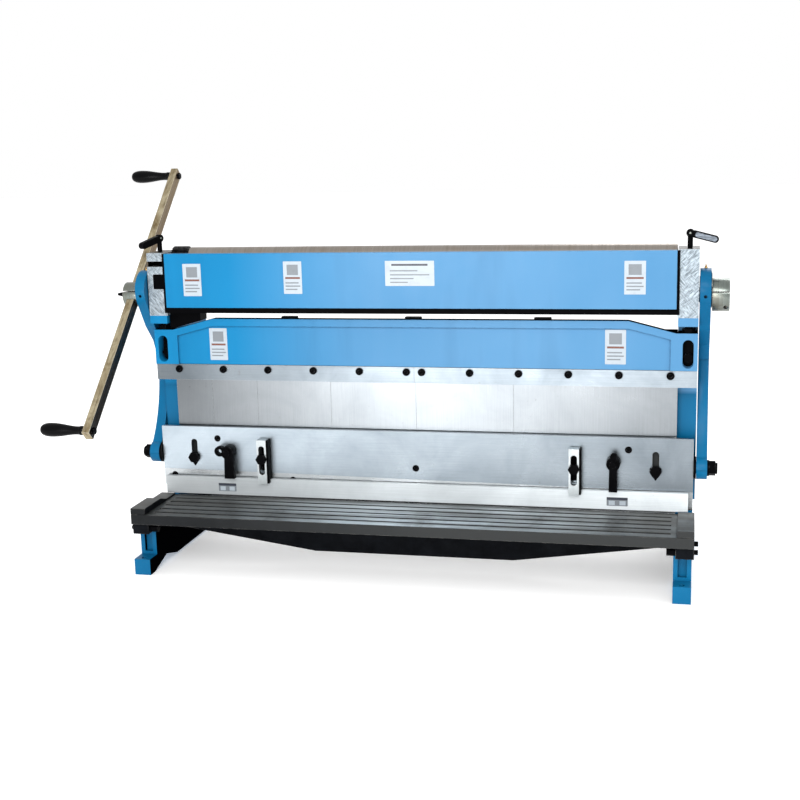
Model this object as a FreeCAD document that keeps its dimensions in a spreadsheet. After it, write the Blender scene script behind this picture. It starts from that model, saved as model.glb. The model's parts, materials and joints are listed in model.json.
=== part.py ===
"""Combined sheet metal brake, shear and slip roll, 52 inch class, bench standing.

Millimetres. X runs along the machine with +X at the plain hub, Y runs from the front (-Y) to the
back, and Z is up. The origin is the centre of the four foot bolt holes, on the floor plane.
The machine stands near the top of its stroke: fingers nearly closed, shear open.
"""
import FreeCAD, Part

import math
import os

import Sketcher

Vector = FreeCAD.Vector
Rotation = FreeCAD.Rotation

DIMENSIONS = {
    # side frames, one casting at each end
    "frame_in": 659, "frame_out": 702, "rim_out": 707, "rim_low": 180, "rim_low_y": 221,
    "foot_front": 272, "foot_rise": 42, "foot_depth": 46,
    "foot_hole_y": 258, "foot_hole_radius": 6, "column_front": 0, "column_back": 200,
    "column_neck_z": 560, "flare_y": 215, "flare_z": 300, "knee_z": 60, "ledge_z": 105,
    "shelf_under": 628, "shelf_top": 649, "shelf_front": -70, "relief_rise": 6,
    "relief_back": 150, "relief_front": -97, "arch_y": -165, "arch_rise": 24, "toe_y": -244,
    "web_recess": 13, "rim": 28, "leg_recess_margin": 11, "leg_recess_depth": 12,
    "leg_recess_low": 50, "leg_recess_high": 98,
    # table with its web, guides and blade
    "table_half": 707, "table_front": -267, "table_back": -66, "table_top": 160,
    "table_plate": 18, "apron_thick": 18, "apron_low": 133, "lug_in": 664, "lug_front": -258,
    "lug_back": -80, "groove_count": 5, "groove_first": -241, "groove_pitch": 34,
    "groove_width": 9, "groove_depth": 3, "groove_half": 652, "web_front": -112, "web_back": -92,
    "web_end_z": 88, "web_low_z": 33, "web_low_half": 262, "rail_front": -84, "rail_low": 118,
    "rail_half": 655, "guide_in": 667, "guide_high": 176, "guide_knee_y": -165,
    "guide_low_y": -128, "guide_low": 165, "guide_back": -68, "lower_blade_back": -50.4,
    "lower_blade_half": 660.4,
    "table_bolt_y": -240, "table_bolt_radius": 6.5, "table_bolt_low": 118, "table_bolt_rise": 21,
    "table_bolt_head": 9, "table_nut_long": 21, "table_nut_radius": 11,
    # fixed upper beam, its fixings and the finger clamp
    "beam_front": -50, "beam_wall_back": -24, "beam_half": 658, "beam_low": 516,
    "beam_pad_z": 609, "beam_top": 639, "beam_ramp_out": 655, "beam_ramp_in": 540,
    "beam_body_back": 60, "beam_body_top": 604, "beam_toe_front": -11, "beam_toe_low": 474,
    "beam_end": 707, "beam_recess": 6, "beam_rim": 20, "beam_panel_half": 642, "panel_rise": 4,
    "panel_ramp": 2,
    "beam_pocket_front": -2, "beam_pocket_low": 494, "beam_pocket_high": 586, "beam_rib": 12,
    "beam_bay": 213, "slot_x": 684, "slot_z": 557.5, "slot_half": 22, "slot_radius": 13,
    "slot_step_y": -14, "slot_step_z": 4, "slot_narrow": 8.6, "end_bolt_z": 545,
    "end_bolt_radius": 8,
    "end_bolt_hex": 12.4, "end_bolt_head": 12, "end_bolt_tail": 30, "end_bolt_gap": 0.3,
    "end_washer": 3, "end_washer_gap": 0.2,
    "plug_pitch": 330, "plug_radius": 22, "plug_high": 6, "plug_y": -37, "plug_flat": 11,
    "jack_y": -30, "jack_radius": 9, "jack_nut_radius": 16, "jack_nut_high": 10,
    "strip_end": 707, "strip_gap": 0.4, "strip_front": -45, "strip_back": -29,
    "strip_low": 474, "strip_high": 515.6, "screw_first": 20, "screw_pitch": 124.6,
    "screw_z": 503, "screw_head_radius": 9.5, "screw_head_high": 5, "screw_radius": 5,
    "socket_radius": 4.6, "socket_depth": 3.5, "screw_count": 6, "screw_gap": 0.2,
    # box and pan fingers
    "inch": 25.4, "finger_front": -29, "finger_back": -11, "finger_top": 512,
    "finger_tip_y": -25, "finger_tip": 344.2, "finger_gap": 0.3,
    # slip roll end
    "housing_in": 657, "housing_front": -70, "housing_back": 110, "housing_top": 814,
    "roof_low": 792, "slope_top_y": 34, "slope_low_y": 48, "seat_top": 778, "seat_back": 20,
    "saddle_front": -20, "saddle_back": 10, "saddle_top": 791, "window_in": 661,
    "window_out": 692, "window_low": 719, "window_high": 758, "window_depth": 3,
    "shaft_y": -46, "shaft_z": 703, "shaft_radius": 18, "lower_roll_z": 738, "roll_y": -5.2,
    "upper_roll_z": 795.5, "rear_roll_y": 52, "rear_roll_z": 757, "roll_radius": 28.25,
    "roll_start": -606, "roll_end": 655, "journal_radius": 11, "journal_end": 705,
    "bush_wall": 4, "running_gap": 0.05, "bush_gap": 0.05,
    "block_half": 14, "block_in": 684, "slide_gap": 0.2, "rear_slot_low": 734,
    "rear_slot_high": 780, "stud_radius": 4.5, "stud_top": 808, "stud_shift": 8,
    "stud_hole_gap": 0.4,
    "guard_end": 655, "guard_front": -78, "guard_low": 671, "guard_high": 812, "guard_sheet": 2,
    "guard_flange": 20, "upright_out": 661.5, "upright_back": -70.2, "cover_reach": 572,
    "cover_front": -53.5, "cover_back": -8, "cover_out_low": 612, "cover_in_low": 634,
    "cover_high": 668, "cover_sheet": 2, "rail_bar_low": 657, "rail_bar_back": -54,
    "rail_bar_sheet": 3,
    "post_x": 684, "post_y": -32, "post_radius": 6.5, "post_low": 758, "post_high": 850,
    "lever_reach": 60, "lever_drop": 16, "lever_thick": 10, "lever_half": 8, "lever_hub_radius": 10,
    "lever_gap": 1, "left_lever_turn": 246, "right_lever_turn": 0,
    # gears inside the left end of the guard
    "gear_module": 2.5, "roll_teeth": 23, "crank_teeth": 20, "gear_outer": 654,
    "gear_inner": 612, "gear_backlash": 0.35,
    # crankshaft, hubs and crank
    "eccentric": 18, "eccentric_rest": 40, "eccentric_sweep": 50, "eccentric_radius": 32,
    "strap_clearance": 3.8, "rod_in": 709, "rod_out": 735, "keeper_in": 735.4,
    "keeper_out": 737.4, "keeper_radius": 44, "hub_in": 738, "hub_out": 778,
    "right_hub_radius": 39.5, "left_hub_radius": 32.5, "stub_end_right": 777,
    "stub_end_left": 745.5, "bore_relief": 0.5, "hub_split_z": 9, "hub_split": 3,
    "hub_hole_radius": 5,
    "hub_hole_x": 768, "hub_hole_z": 27, "hub_screw_radius": 9, "hub_screw_tip": 3,
    "hub_screw_end": 806, "hub_screw_neck": 5,
    "bar_in": 747, "bar_out": 767, "bar_width": 30, "bar_half": 452, "bar_lean": 46,
    "bar_gap": 0.1, "grip_reach": 436, "spindle_radius": 6, "spindle_head": 9,
    "spindle_head_high": 7, "spindle_end": 884, "grip_in": 771, "grip_end": 888,
    "grip_neck": 11, "grip_belly": 17.5, "grip_bore_gap": 0.08, "grip_end_gap": 0.3,
    "washer_radius": 10,
    # connecting rods
    "boss_radius": 52, "boss_y": -41, "pin_y": -38, "pin_z": 272, "pin_boss_radius": 28,
    "pin_radius": 14,
    "pin_gap": 0.05, "rod_bow": 84.6, "rod_band": 24, "neck_lean": 32.4,
    "neck_front_z": 617, "neck_knee_y": 1, "neck_knee_z": 573, "neck_end_y": 18,
    "neck_end_z": 535, "neck_rear_y": 48, "nipple_radius": 3.5, "nipple_high": 9,
    "nipple_sink": 6, "pin_disc_in": 703, "pin_disc_out": 708.5, "pin_end": 760,
    "pin_nut_in": 740, "pin_nut_out": 755, "pin_nut_hex": 19, "pin_washer_radius": 20,
    "pin_nut_gap": 0.3, "pin_disc_gap": 0.2,
    "oil_hole_radius": 4, "oil_hole_depth": 14,
    # moving beam
    "plate_end": 702, "plate_front": -50, "plate_back": -36, "plate_top": 346.5,
    "blade_drop": 1, "blade_edge_right": 165, "blade_edge_left": 183, "blade_high": 46,
    "blade_screw_up": 28.5, "blade_screw_pitch": 336, "blade_screw_radius": 9,
    "blade_screw_high": 1.6, "blade_gap": 0.2, "blade_hole_depth": 6, "blade_socket_depth": 3,
    "ram_half": 655, "ram_back": 60, "ram_low": 176, "ram_high": 314,
    "ram_rib": 14, "ram_bay": 312, "ram_wall": 20, "ram_flange": 24, "ram_arm_back": -8,
    "ram_arm_half": 30, "die_front": -35.8, "die_back": -6, "die_low": 314.5, "die_top": 345,
    "die_mouth": 10, "die_depth": 10, "die_half": 655,
    "slot_nut_x": 611, "slot_nut_z": 263, "plate_slot_half": 8.5, "plate_slot_top": 312,
    "plate_slot_drop": 14, "slot_nut_hex": 15, "slot_nut_high": 11, "point_washer": 2.5,
    "point_half": 14, "point_rise": 8, "point_drop": 25, "point_shoulder": 5, "drill_x": 544,
    "drill_z": 315, "drill_radius": 9,
    "centre_hole_z": 250,
    # hold-down bar, its slotted brackets and cam levers
    "bar_end": 691, "hold_front": -66, "hold_back": -52, "hold_low": 164.5, "hold_high": 211.5,
    "bracket_x": 411, "bracket_half": 13, "bracket_front": -80, "bracket_back": -53,
    "bracket_low": 201, "bracket_high": 320, "bracket_step": 212, "bracket_toe_back": -66,
    "bracket_slot_half": 8, "bracket_slot_low": 226, "bracket_slot_high": 304,
    "guide_bolt_z": 269, "guide_bolt_radius": 7.4, "guide_bolt_hex": 14.5,
    "guide_bolt_head": 9, "guide_bolt_gap": 0.5,
    "cam_x": 508, "cam_z": 284, "cam_hub_radius": 17, "cam_front": -82, "cam_arm_back": -69,
    "cam_arm_low": 213, "cam_back": -51, "cam_bolt_radius": 6, "cam_bolt_head": 9,
    "cam_bolt_high": 4, "cam_bolt_gap": 0.4, "left_arm_shift": 5, "left_arm_half": 12,
    "left_arm_wide": 14, "right_arm_shift": 0, "right_arm_half": 9.5, "right_arm_wide": 10.5,
    "left_eye_shift": -20, "left_eye_rise": 3, "left_eye_radius": 14, "left_eye_hole": 6,
    "right_eye_shift": 1, "right_eye_rise": 20, "right_eye_radius": 8.5,
    # clearance of a clamping bolt in its hole, and how far cutting shapes run past a face
    "hole_gap": 0.1, "past": 1,
    # rear tie bars between the side frames
    "tie_radius": 16, "tie_high_y": 150, "tie_high_z": 560, "tie_low_y": 120, "tie_low_z": 120,
}
FINGER_INCHES = (4, 5, 8, 9, 10, 16)
# Grip outline: share of its length, and how much less than the belly's radius it is there
GRIP_SWELL = ((0.22, 5.5), (0.45, 1.5), (0.7, 0.0), (0.9, 2.5), (1.0, 8.0))
# Involute gears: degrees, root depth in modules, and straight runs to each tooth flank
PRESSURE_ANGLE = 20
DEDENDUM = 1.25
FLANK_STEPS = 7
# Beam travel for each radian of the crank, as a share of the eccentric's throw
LIFT_SHARE = 0.905
ROLE_OF_PLANE = {"xy": "XY_Plane", "xz": "XZ_Plane", "yz": "YZ_Plane"}
TURN_TO_AXIS = {
    "x": Rotation(Vector(0, 0, 1), Vector(1, 0, 0)),
    "y": Rotation(Vector(0, 0, 1), Vector(0, 1, 0)),
    "z": Rotation(),
}


class Size:
    """A length that knows its value and the sheet formula that gives it."""

    def __init__(self, value, text=None):
        self.value = float(value)
        self.text = text if text is not None else repr(float(value))

    @staticmethod
    def of(other):
        return other if isinstance(other, Size) else Size(other)

    def __add__(self, other):
        other = Size.of(other)
        return Size(self.value + other.value, f"({self.text} + {other.text})")

    __radd__ = __add__

    def __sub__(self, other):
        other = Size.of(other)
        return Size(self.value - other.value, f"({self.text} - {other.text})")

    def __rsub__(self, other):
        return Size.of(other) - self

    def __mul__(self, other):
        other = Size.of(other)
        return Size(self.value * other.value, f"({self.text} * {other.text})")

    __rmul__ = __mul__

    def __truediv__(self, other):
        other = Size.of(other)
        return Size(self.value / other.value, f"({self.text} / {other.text})")

    def __neg__(self):
        return Size(-self.value, f"(0 - {self.text})")


def sine(angle):
    return Size(math.sin(math.radians(angle.value)), f"sin({angle.text} * 1 deg)")


def cosine(angle):
    return Size(math.cos(math.radians(angle.value)), f"cos({angle.text} * 1 deg)")


doc = FreeCAD.newDocument("SheetMetalBrake")
sheet = doc.addObject("Spreadsheet::Sheet", "Dims")


class Dimensions:
    """Gives each alias of the sheet as a Size."""

    def __getattr__(self, alias):
        return Size(DIMENSIONS[alias], f"Dims.{alias}")


d = Dimensions()
nodes = []


def fill_sheet():
    for row, (alias, value) in enumerate(DIMENSIONS.items(), start=1):
        sheet.set(f"A{row}", alias)
        sheet.set(f"B{row}", repr(value))
        sheet.setAlias(f"B{row}", alias)
    doc.recompute()


def bind(feature, prop, size):
    feature.setExpression(prop, Size.of(size).text)


def place(feature, x, y, z):
    bind(feature, ".Placement.Base.x", x)
    bind(feature, ".Placement.Base.y", y)
    bind(feature, ".Placement.Base.z", z)


def box(name, x, y, z):
    """A block between two planes on each axis."""
    feature = doc.addObject("Part::Box", name)
    bind(feature, "Length", x[1] - x[0])
    bind(feature, "Width", y[1] - y[0])
    bind(feature, "Height", z[1] - z[0])
    place(feature, x[0], y[0], z[0])
    return feature


def centre_on_axis(axis, start, centre):
    """The point at start along the axis, with the two other coordinates in X, Y, Z order."""
    first, second = centre
    return {"x": (start, first, second), "y": (first, start, second),
            "z": (first, second, start)}[axis]


def rod(name, axis, span, centre, radius):
    """A round bar along an axis between two planes."""
    feature = doc.addObject("Part::Cylinder", name)
    bind(feature, "Radius", radius)
    bind(feature, "Height", span[1] - span[0])
    feature.Placement = FreeCAD.Placement(Vector(), TURN_TO_AXIS[axis])
    place(feature, *centre_on_axis(axis, span[0], centre))
    return feature


def cone(name, axis, span, centre, radius_start, radius_end):
    feature = doc.addObject("Part::Cone", name)
    bind(feature, "Radius1", radius_start)
    bind(feature, "Radius2", radius_end)
    bind(feature, "Height", span[1] - span[0])
    feature.Placement = FreeCAD.Placement(Vector(), TURN_TO_AXIS[axis])
    place(feature, *centre_on_axis(axis, span[0], centre))
    return feature


def hexagon(name, axis, span, centre, corner_radius):
    """A six-sided head or nut, measured to its corners."""
    feature = doc.addObject("Part::Prism", name)
    feature.Polygon = 6
    bind(feature, "Circumradius", corner_radius)
    bind(feature, "Height", span[1] - span[0])
    feature.Placement = FreeCAD.Placement(Vector(), TURN_TO_AXIS[axis])
    place(feature, *centre_on_axis(axis, span[0], centre))
    return feature


def add_outline(sketch, outline):
    """Closed straight-sided outline with every corner held by two sheet-driven distances."""
    count = len(outline)
    for index, (first, second) in enumerate(outline):
        after = outline[(index + 1) % count]
        start = Vector(Size.of(first).value, Size.of(second).value, 0)
        end = Vector(Size.of(after[0]).value, Size.of(after[1]).value, 0)
        sketch.addGeometry(Part.LineSegment(start, end))
    for index in range(count):
        sketch.addConstraint(Sketcher.Constraint("Coincident", index, 2, (index + 1) % count, 1))
    for index, corner in enumerate(outline):
        for kind, size in zip(("DistanceX", "DistanceY"), corner):
            size = Size.of(size)
            held = sketch.addConstraint(Sketcher.Constraint(kind, -1, 1, index, 1, size.value))
            sketch.setExpression(f"Constraints[{held}]", size.text)


def new_body_with_sketch(name, plane):
    body = doc.addObject("PartDesign::Body", name)
    sketch = body.newObject("Sketcher::SketchObject", name + "_outline")
    role = ROLE_OF_PLANE[plane]
    support = [feature for feature in body.Origin.OriginFeatures if feature.Role == role][0]
    sketch.AttachmentSupport = [(support, "")]
    sketch.MapMode = "FlatFace"
    return body, sketch


def prism(name, plane, outline, span):
    """A padded outline; span is along the plane's normal axis."""
    body, sketch = new_body_with_sketch(name, plane)
    add_outline(sketch, outline)
    pad = body.newObject("PartDesign::Pad", name + "_pad")
    pad.Profile = sketch
    bind(pad, "Length", span[1] - span[0])
    if plane == "yz":
        place(body, span[0], Size(0), Size(0))
    elif plane == "xz":
        place(body, Size(0), span[1], Size(0))
    else:
        place(body, Size(0), Size(0), span[0])
    return body


def cut(name, base, *tools):
    for index, tool in enumerate(tools):
        feature = doc.addObject("Part::Cut", f"{name}_{index}")
        feature.Base = base
        feature.Tool = tool
        base = feature
    return base


def fuse(name, *shapes):
    feature = doc.addObject("Part::MultiFuse", name)
    feature.Shapes = list(shapes)
    feature.Refine = True
    return feature


def common(name, *shapes):
    feature = doc.addObject("Part::MultiCommon", name)
    feature.Shapes = list(shapes)
    return feature


def group(name, shapes):
    """Separate identical pieces kept in one node."""
    feature = doc.addObject("Part::Compound", name)
    feature.Links = list(shapes)
    return feature


def mirrored(name, source):
    """The same piece for the other end of the machine."""
    feature = doc.addObject("Part::Mirroring", name)
    feature.Source = source
    feature.Normal = (1, 0, 0)
    return feature


def node(label, feature):
    feature.Label = label
    nodes.append(feature)
    return feature


def slot_tool(name, x, z_low, z_high, half, y):
    """A round-ended upright slot cut along Y."""
    middle = box(name + "_run", (x - half, x + half), y, (z_low + half, z_high - half))
    low = rod(name + "_low", "y", y, (x, z_low + half), half)
    high = rod(name + "_high", "y", y, (x, z_high - half), half)
    return fuse(name, middle, low, high)


def make_side_frames():
    outline = [
        (-d.foot_front, 0), (-d.foot_front, d.foot_rise),
        (d.foot_depth - d.foot_front, d.foot_rise), (d.foot_depth - d.foot_front, d.ledge_z),
        (d.column_front, d.ledge_z), (d.column_front, d.shelf_under),
        (d.shelf_front, d.shelf_under), (d.shelf_front, d.shelf_top),
        (d.column_back, d.shelf_top), (d.column_back, d.column_neck_z), (d.flare_y, d.flare_z),
        (d.foot_front - d.foot_depth, d.knee_z), (d.foot_front - d.foot_depth, d.foot_rise),
        (d.foot_front, d.foot_rise), (d.foot_front, 0), (d.relief_back, 0),
        (d.relief_back, d.relief_rise), (d.relief_front, d.relief_rise),
        (d.arch_y, d.arch_rise), (d.toe_y, 0),
    ]
    casting = prism("frame_web", "yz", outline, (d.frame_in, d.frame_out))
    rim = prism("frame_rim", "yz", [
        (d.column_front, d.rim_low), (d.column_front, d.shelf_under), (d.shelf_front, d.shelf_under),
        (d.shelf_front, d.shelf_top), (d.column_back, d.shelf_top), (d.column_back, d.column_neck_z),
        (d.flare_y, d.flare_z), (d.rim_low_y, d.rim_low),
    ], (d.frame_out, d.rim_out))
    casting = fuse("frame_casting", casting, rim)
    recess = [
        (d.column_front + d.rim, d.ledge_z + d.rim), (d.column_front + d.rim, d.shelf_under - d.rim),
        (d.column_back - d.rim, d.shelf_under - d.rim), (d.column_back - d.rim, d.ledge_z + d.rim),
    ]
    outer = prism("frame_outer_recess", "yz", recess,
                  (d.frame_out - d.web_recess, d.rim_out + d.past))
    inner = prism("frame_inner_recess", "yz", recess,
                  (d.frame_in - d.past, d.frame_in + d.web_recess))
    leg_front = d.foot_depth - d.foot_front
    leg = box("frame_leg_recess", (d.frame_in + d.leg_recess_margin, d.frame_out - d.leg_recess_margin),
              (leg_front - d.past, leg_front + d.leg_recess_depth), (d.leg_recess_low, d.leg_recess_high))
    middle = (d.frame_in + d.frame_out) / 2
    holes = [rod(f"foot_hole_{index}", "z", (-d.past, d.foot_rise + d.past), (middle, side * d.foot_hole_y),
                 d.foot_hole_radius) for index, side in enumerate((-1, 1))]
    bolt_run = (d.column_front - d.past, d.end_bolt_tail + d.past)
    bolt = rod("end_bolt_hole", "y", bolt_run, (d.slot_x, d.end_bolt_z),
               d.end_bolt_radius + d.end_bolt_gap)
    right = cut("right_frame", casting, outer, inner, leg, *holes, bolt)
    node("right_side_frame", right)
    node("left_side_frame", mirrored("left_frame", right))


def make_table():
    bottom = d.table_top - d.table_plate
    full = (-d.table_half, d.table_half)
    plate = box("table_plate_block", full, (d.table_front, d.table_back), (bottom, d.table_top))
    apron = box("table_apron", full, (d.table_front, d.table_front + d.apron_thick),
                (d.apron_low, d.table_top))
    lugs = []
    for index, side in enumerate(((-d.table_half, -d.lug_in), (d.lug_in, d.table_half))):
        lugs.append(box(f"table_lug_{index}", side, (d.lug_front, d.lug_back), (d.ledge_z, d.table_top)))
    web = prism("table_web", "xz", [
        (-d.rail_half, bottom + d.past), (-d.rail_half, d.web_end_z), (-d.web_low_half, d.web_low_z),
        (d.web_low_half, d.web_low_z), (d.rail_half, d.web_end_z), (d.rail_half, bottom + d.past),
    ], (d.web_front, d.web_back))
    rail = box("table_rail", (-d.rail_half, d.rail_half), (d.rail_front, d.table_back),
               (d.rail_low, d.table_top))
    casting = fuse("table_casting", plate, apron, *lugs, web, rail)
    grooves = []
    for index in range(DIMENSIONS["groove_count"]):
        start = d.groove_first + index * d.groove_pitch
        grooves.append(box(f"table_groove_{index}", (-d.groove_half, d.groove_half),
                           (start, start + d.groove_width),
                           (d.table_top - d.groove_depth, d.table_top + d.past)))
    node("table_bed", cut("table", casting, *grooves))
    guide = prism("right_guide", "yz", [
        (d.table_front, d.table_top), (d.table_front, d.guide_high), (d.guide_knee_y, d.guide_high),
        (d.guide_low_y, d.guide_low), (d.guide_back, d.guide_low), (d.guide_back, d.table_top),
    ], (d.guide_in, d.table_half))
    node("side_guides", group("side_guide_set", [guide, mirrored("left_guide", guide)]))
    blade = box("lower_blade_bar", (-d.lower_blade_half, d.lower_blade_half),
                (d.table_back, d.lower_blade_back), (d.rail_low, d.table_top))
    node("lower_blade", blade)
    make_table_bolts()


def make_table_bolts():
    pieces = []
    for end, sign in (("right", 1), ("left", -1)):
        for index in range(2):
            height = d.table_bolt_low + index * d.table_bolt_rise
            span = sorted((sign * d.table_half, sign * (d.table_half + d.table_bolt_head)),
                          key=lambda size: size.value)
            pieces.append(hexagon(f"table_bolt_{end}_{index}", "x", span, (d.table_bolt_y, height),
                                  d.table_bolt_radius))
        span = sorted((sign * d.lug_in, sign * (d.lug_in - d.table_nut_long)),
                      key=lambda size: size.value)
        pieces.append(hexagon(f"table_nut_{end}", "x", span, (d.table_bolt_y, d.table_bolt_low),
                              d.table_nut_radius))
    node("table_bolts", group("table_bolt_set", pieces))


def make_upper_beam():
    front = prism("beam_wall", "xz", [
        (-d.beam_half, d.beam_low), (-d.beam_half, d.beam_pad_z), (-d.beam_ramp_out, d.beam_pad_z),
        (-d.beam_ramp_in, d.beam_top), (d.beam_ramp_in, d.beam_top),
        (d.beam_ramp_out, d.beam_pad_z), (d.beam_half, d.beam_pad_z), (d.beam_half, d.beam_low),
    ], (d.beam_front, d.beam_wall_back))
    width = (-d.beam_half, d.beam_half)
    back = box("beam_back", width, (d.beam_wall_back, d.beam_body_back), (d.beam_low, d.beam_body_top))
    toe = box("beam_toe", width, (d.beam_toe_front, d.beam_body_back), (d.beam_toe_low, d.beam_low))
    pads = []
    for index, side in enumerate(((-d.beam_end, -d.beam_half), (d.beam_half, d.beam_end))):
        pads.append(box(f"beam_pad_{index}", side, (d.beam_front, d.column_front),
                        (d.beam_low, d.beam_pad_z)))
    casting = fuse("beam_casting", front, back, toe, *pads)
    rim = d.beam_rim
    panel = prism("beam_panel", "xz", [
        (-d.beam_panel_half, d.beam_low - d.past),
        (-d.beam_panel_half, d.beam_pad_z - rim + d.panel_rise),
        (-d.beam_ramp_in - d.panel_ramp, d.beam_top - rim),
        (d.beam_ramp_in + d.panel_ramp, d.beam_top - rim),
        (d.beam_panel_half, d.beam_pad_z - rim + d.panel_rise), (d.beam_panel_half, d.beam_low - d.past),
    ], (d.beam_front - d.past, d.beam_front + d.beam_recess))
    tools = [panel]
    for index in (-1, 0, 1):
        middle = index * (2 * d.beam_bay + 2 * d.beam_rib / 2)
        half = d.beam_bay - d.beam_rib / 2
        tools.append(box(f"beam_bay_{index + 1}", (middle - half, middle + half),
                         (d.beam_pocket_front, d.beam_body_back + d.past),
                         (d.beam_pocket_low, d.beam_pocket_high)))
    for index, sign in enumerate((-1, 1)):
        low = d.slot_z - d.slot_half - d.slot_radius
        high = d.slot_z + d.slot_half + d.slot_radius
        tools.append(slot_tool(f"beam_slot_{index}", sign * d.slot_x, low, high, d.slot_radius,
                               (d.beam_front - d.past, d.slot_step_y)))
        tools.append(slot_tool(f"beam_slot_thin_{index}", sign * d.slot_x, low + d.slot_step_z,
                               high - d.slot_step_z, d.slot_narrow,
                               (d.slot_step_y - d.past, d.column_front + d.past)))
    node("upper_beam", cut("beam", casting, *tools))


def make_beam_fixings():
    bolts = []
    for index, sign in enumerate((-1, 1)):
        centre = (sign * d.slot_x, d.end_bolt_z)
        seat = d.slot_step_y - d.end_washer
        head = hexagon(f"end_bolt_head_{index}", "y", (seat - d.end_bolt_head, seat), centre,
                       d.end_bolt_hex)
        shank = rod(f"end_bolt_shank_{index}", "y", (seat - d.past, d.end_bolt_tail), centre,
                    d.end_bolt_radius)
        bolts.append(fuse(f"end_bolt_{index}", head, shank))
        half = d.slot_radius - d.end_washer_gap
        plate = slot_tool(f"end_washer_plate_{index}", sign * d.slot_x, d.slot_z - d.slot_half - half,
                          d.slot_z + d.slot_half + half, half, (seat, d.slot_step_y))
        hole = rod(f"end_washer_hole_{index}", "y", (seat - d.past, d.slot_step_y + d.past), centre,
                   d.end_bolt_radius + d.end_bolt_gap)
        bolts.append(cut(f"end_washer_{index}", plate, hole))
    node("beam_end_bolts", group("end_bolt_set", bolts))
    jacks = []
    for index, sign in enumerate((-1, 1)):
        centre = (sign * d.slot_x, d.jack_y)
        screw = rod(f"jack_screw_{index}", "z", (d.beam_pad_z, d.shelf_under), centre, d.jack_radius)
        nut = hexagon(f"jack_nut_{index}", "z", (d.beam_pad_z, d.beam_pad_z + d.jack_nut_high), centre,
                      d.jack_nut_radius)
        jacks.append(fuse(f"jack_{index}", screw, nut))
    node("beam_jack_screws", group("jack_set", jacks))
    plugs = []
    for index in (-1, 0, 1):
        centre = (index * d.plug_pitch, d.plug_y)
        disc = rod(f"plug_disc_{index + 1}", "z", (d.beam_top, d.beam_top + d.plug_high), centre,
                   d.plug_radius)
        trim = box(f"plug_trim_{index + 1}",
                   (index * d.plug_pitch - d.plug_radius, index * d.plug_pitch + d.plug_radius),
                   (d.plug_y - d.plug_flat, d.plug_y + d.plug_flat),
                   (d.beam_top, d.beam_top + d.plug_high))
        plugs.append(common(f"plug_{index + 1}", disc, trim))
    node("beam_top_plugs", group("plug_set", plugs))


def make_clamp():
    depth = (d.strip_front, d.strip_back)
    height = (d.strip_low, d.strip_high)
    holes = {1: [], -1: []}
    screws = []
    for side in (-1, 1):
        for index in range(DIMENSIONS["screw_count"]):
            x = side * (d.screw_first + index * d.screw_pitch)
            tag = f"{'right' if side > 0 else 'left'}_{index}"
            centre = (x, d.screw_z)
            through = (d.strip_front - d.past, d.strip_back + d.past)
            holes[side].append(rod("clamp_hole_" + tag, "y", through, centre,
                                   d.screw_radius + d.screw_gap))
            head = rod("clamp_head_" + tag, "y", (d.strip_front - d.screw_head_high, d.strip_front),
                       centre, d.screw_head_radius)
            shank = rod("clamp_shank_" + tag, "y", (d.strip_front - d.past, d.strip_back), centre,
                        d.screw_radius)
            socket = hexagon("clamp_socket_" + tag, "y",
                             (d.strip_front - d.screw_head_high - d.past,
                              d.strip_front - d.screw_head_high + d.socket_depth),
                             centre, d.socket_radius)
            screws.append(cut("clamp_screw_" + tag, fuse("clamp_body_" + tag, head, shank), socket))
    left = box("left_strip_bar", (-d.strip_end, -d.strip_gap), depth, height)
    right = box("right_strip_bar", (d.strip_gap, d.strip_end), depth, height)
    strips = [cut("left_strip", left, *holes[-1]), cut("right_strip", right, *holes[1])]
    node("clamp_strips", group("clamp_strip_set", strips))
    node("clamp_screws", group("clamp_screw_set", screws))


def make_fingers():
    start = -d.inch * sum(FINGER_INCHES) / 2
    front_rise = d.finger_tip_y - d.finger_front
    back_rise = d.finger_back - d.finger_tip_y
    profile = [
        (d.finger_front, d.finger_top), (d.finger_front, d.finger_tip + front_rise),
        (d.finger_tip_y, d.finger_tip), (d.finger_back, d.finger_tip + back_rise),
        (d.finger_back, d.finger_top),
    ]
    for inches in FINGER_INCHES:
        end = start + inches * d.inch
        name = f"finger_{inches}in"
        node(name, prism(name + "_bar", "yz", profile, (start + d.finger_gap / 2, end - d.finger_gap / 2)))
        start = end


def bearing_centres():
    return {"shaft": (d.shaft_y, d.shaft_z, d.shaft_radius),
            "lower": (d.roll_y, d.lower_roll_z, d.journal_radius),
            "upper": (d.roll_y, d.upper_roll_z, d.journal_radius)}


def housing_tools(tag, side, spans):
    """Bores for the bushes and the rear roll's sliding blocks, for one end."""
    tools = []
    for name in spans:
        y, z, radius = bearing_centres()[name]
        tools.append(rod(f"{tag}_{name}_bore", "x", side, (y, z), radius + d.bush_wall + d.bush_gap))
    return tools


def rear_slot_tools(tag, side):
    gap = d.block_half + d.slide_gap
    slot = box(f"{tag}_rear_slot", side, (d.rear_roll_y - gap, d.rear_roll_y + gap),
               (d.rear_slot_low, d.rear_slot_high))
    sign = 1 if side[1].value > 0 else -1
    stud_x = sign * (d.block_in + d.journal_end) / 2
    hole = rod(f"{tag}_stud_hole", "z", (d.rear_slot_high - d.past, d.housing_top + d.past),
               (stud_x, d.rear_roll_y + d.stud_shift), d.stud_radius + d.stud_hole_gap)
    return [slot, hole]


def housing_roof():
    """Top outline of a housing behind its upper bearing, from the back to the front."""
    return [(d.housing_back, d.roof_low), (d.slope_low_y, d.roof_low), (d.slope_top_y, d.housing_top)]


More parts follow.
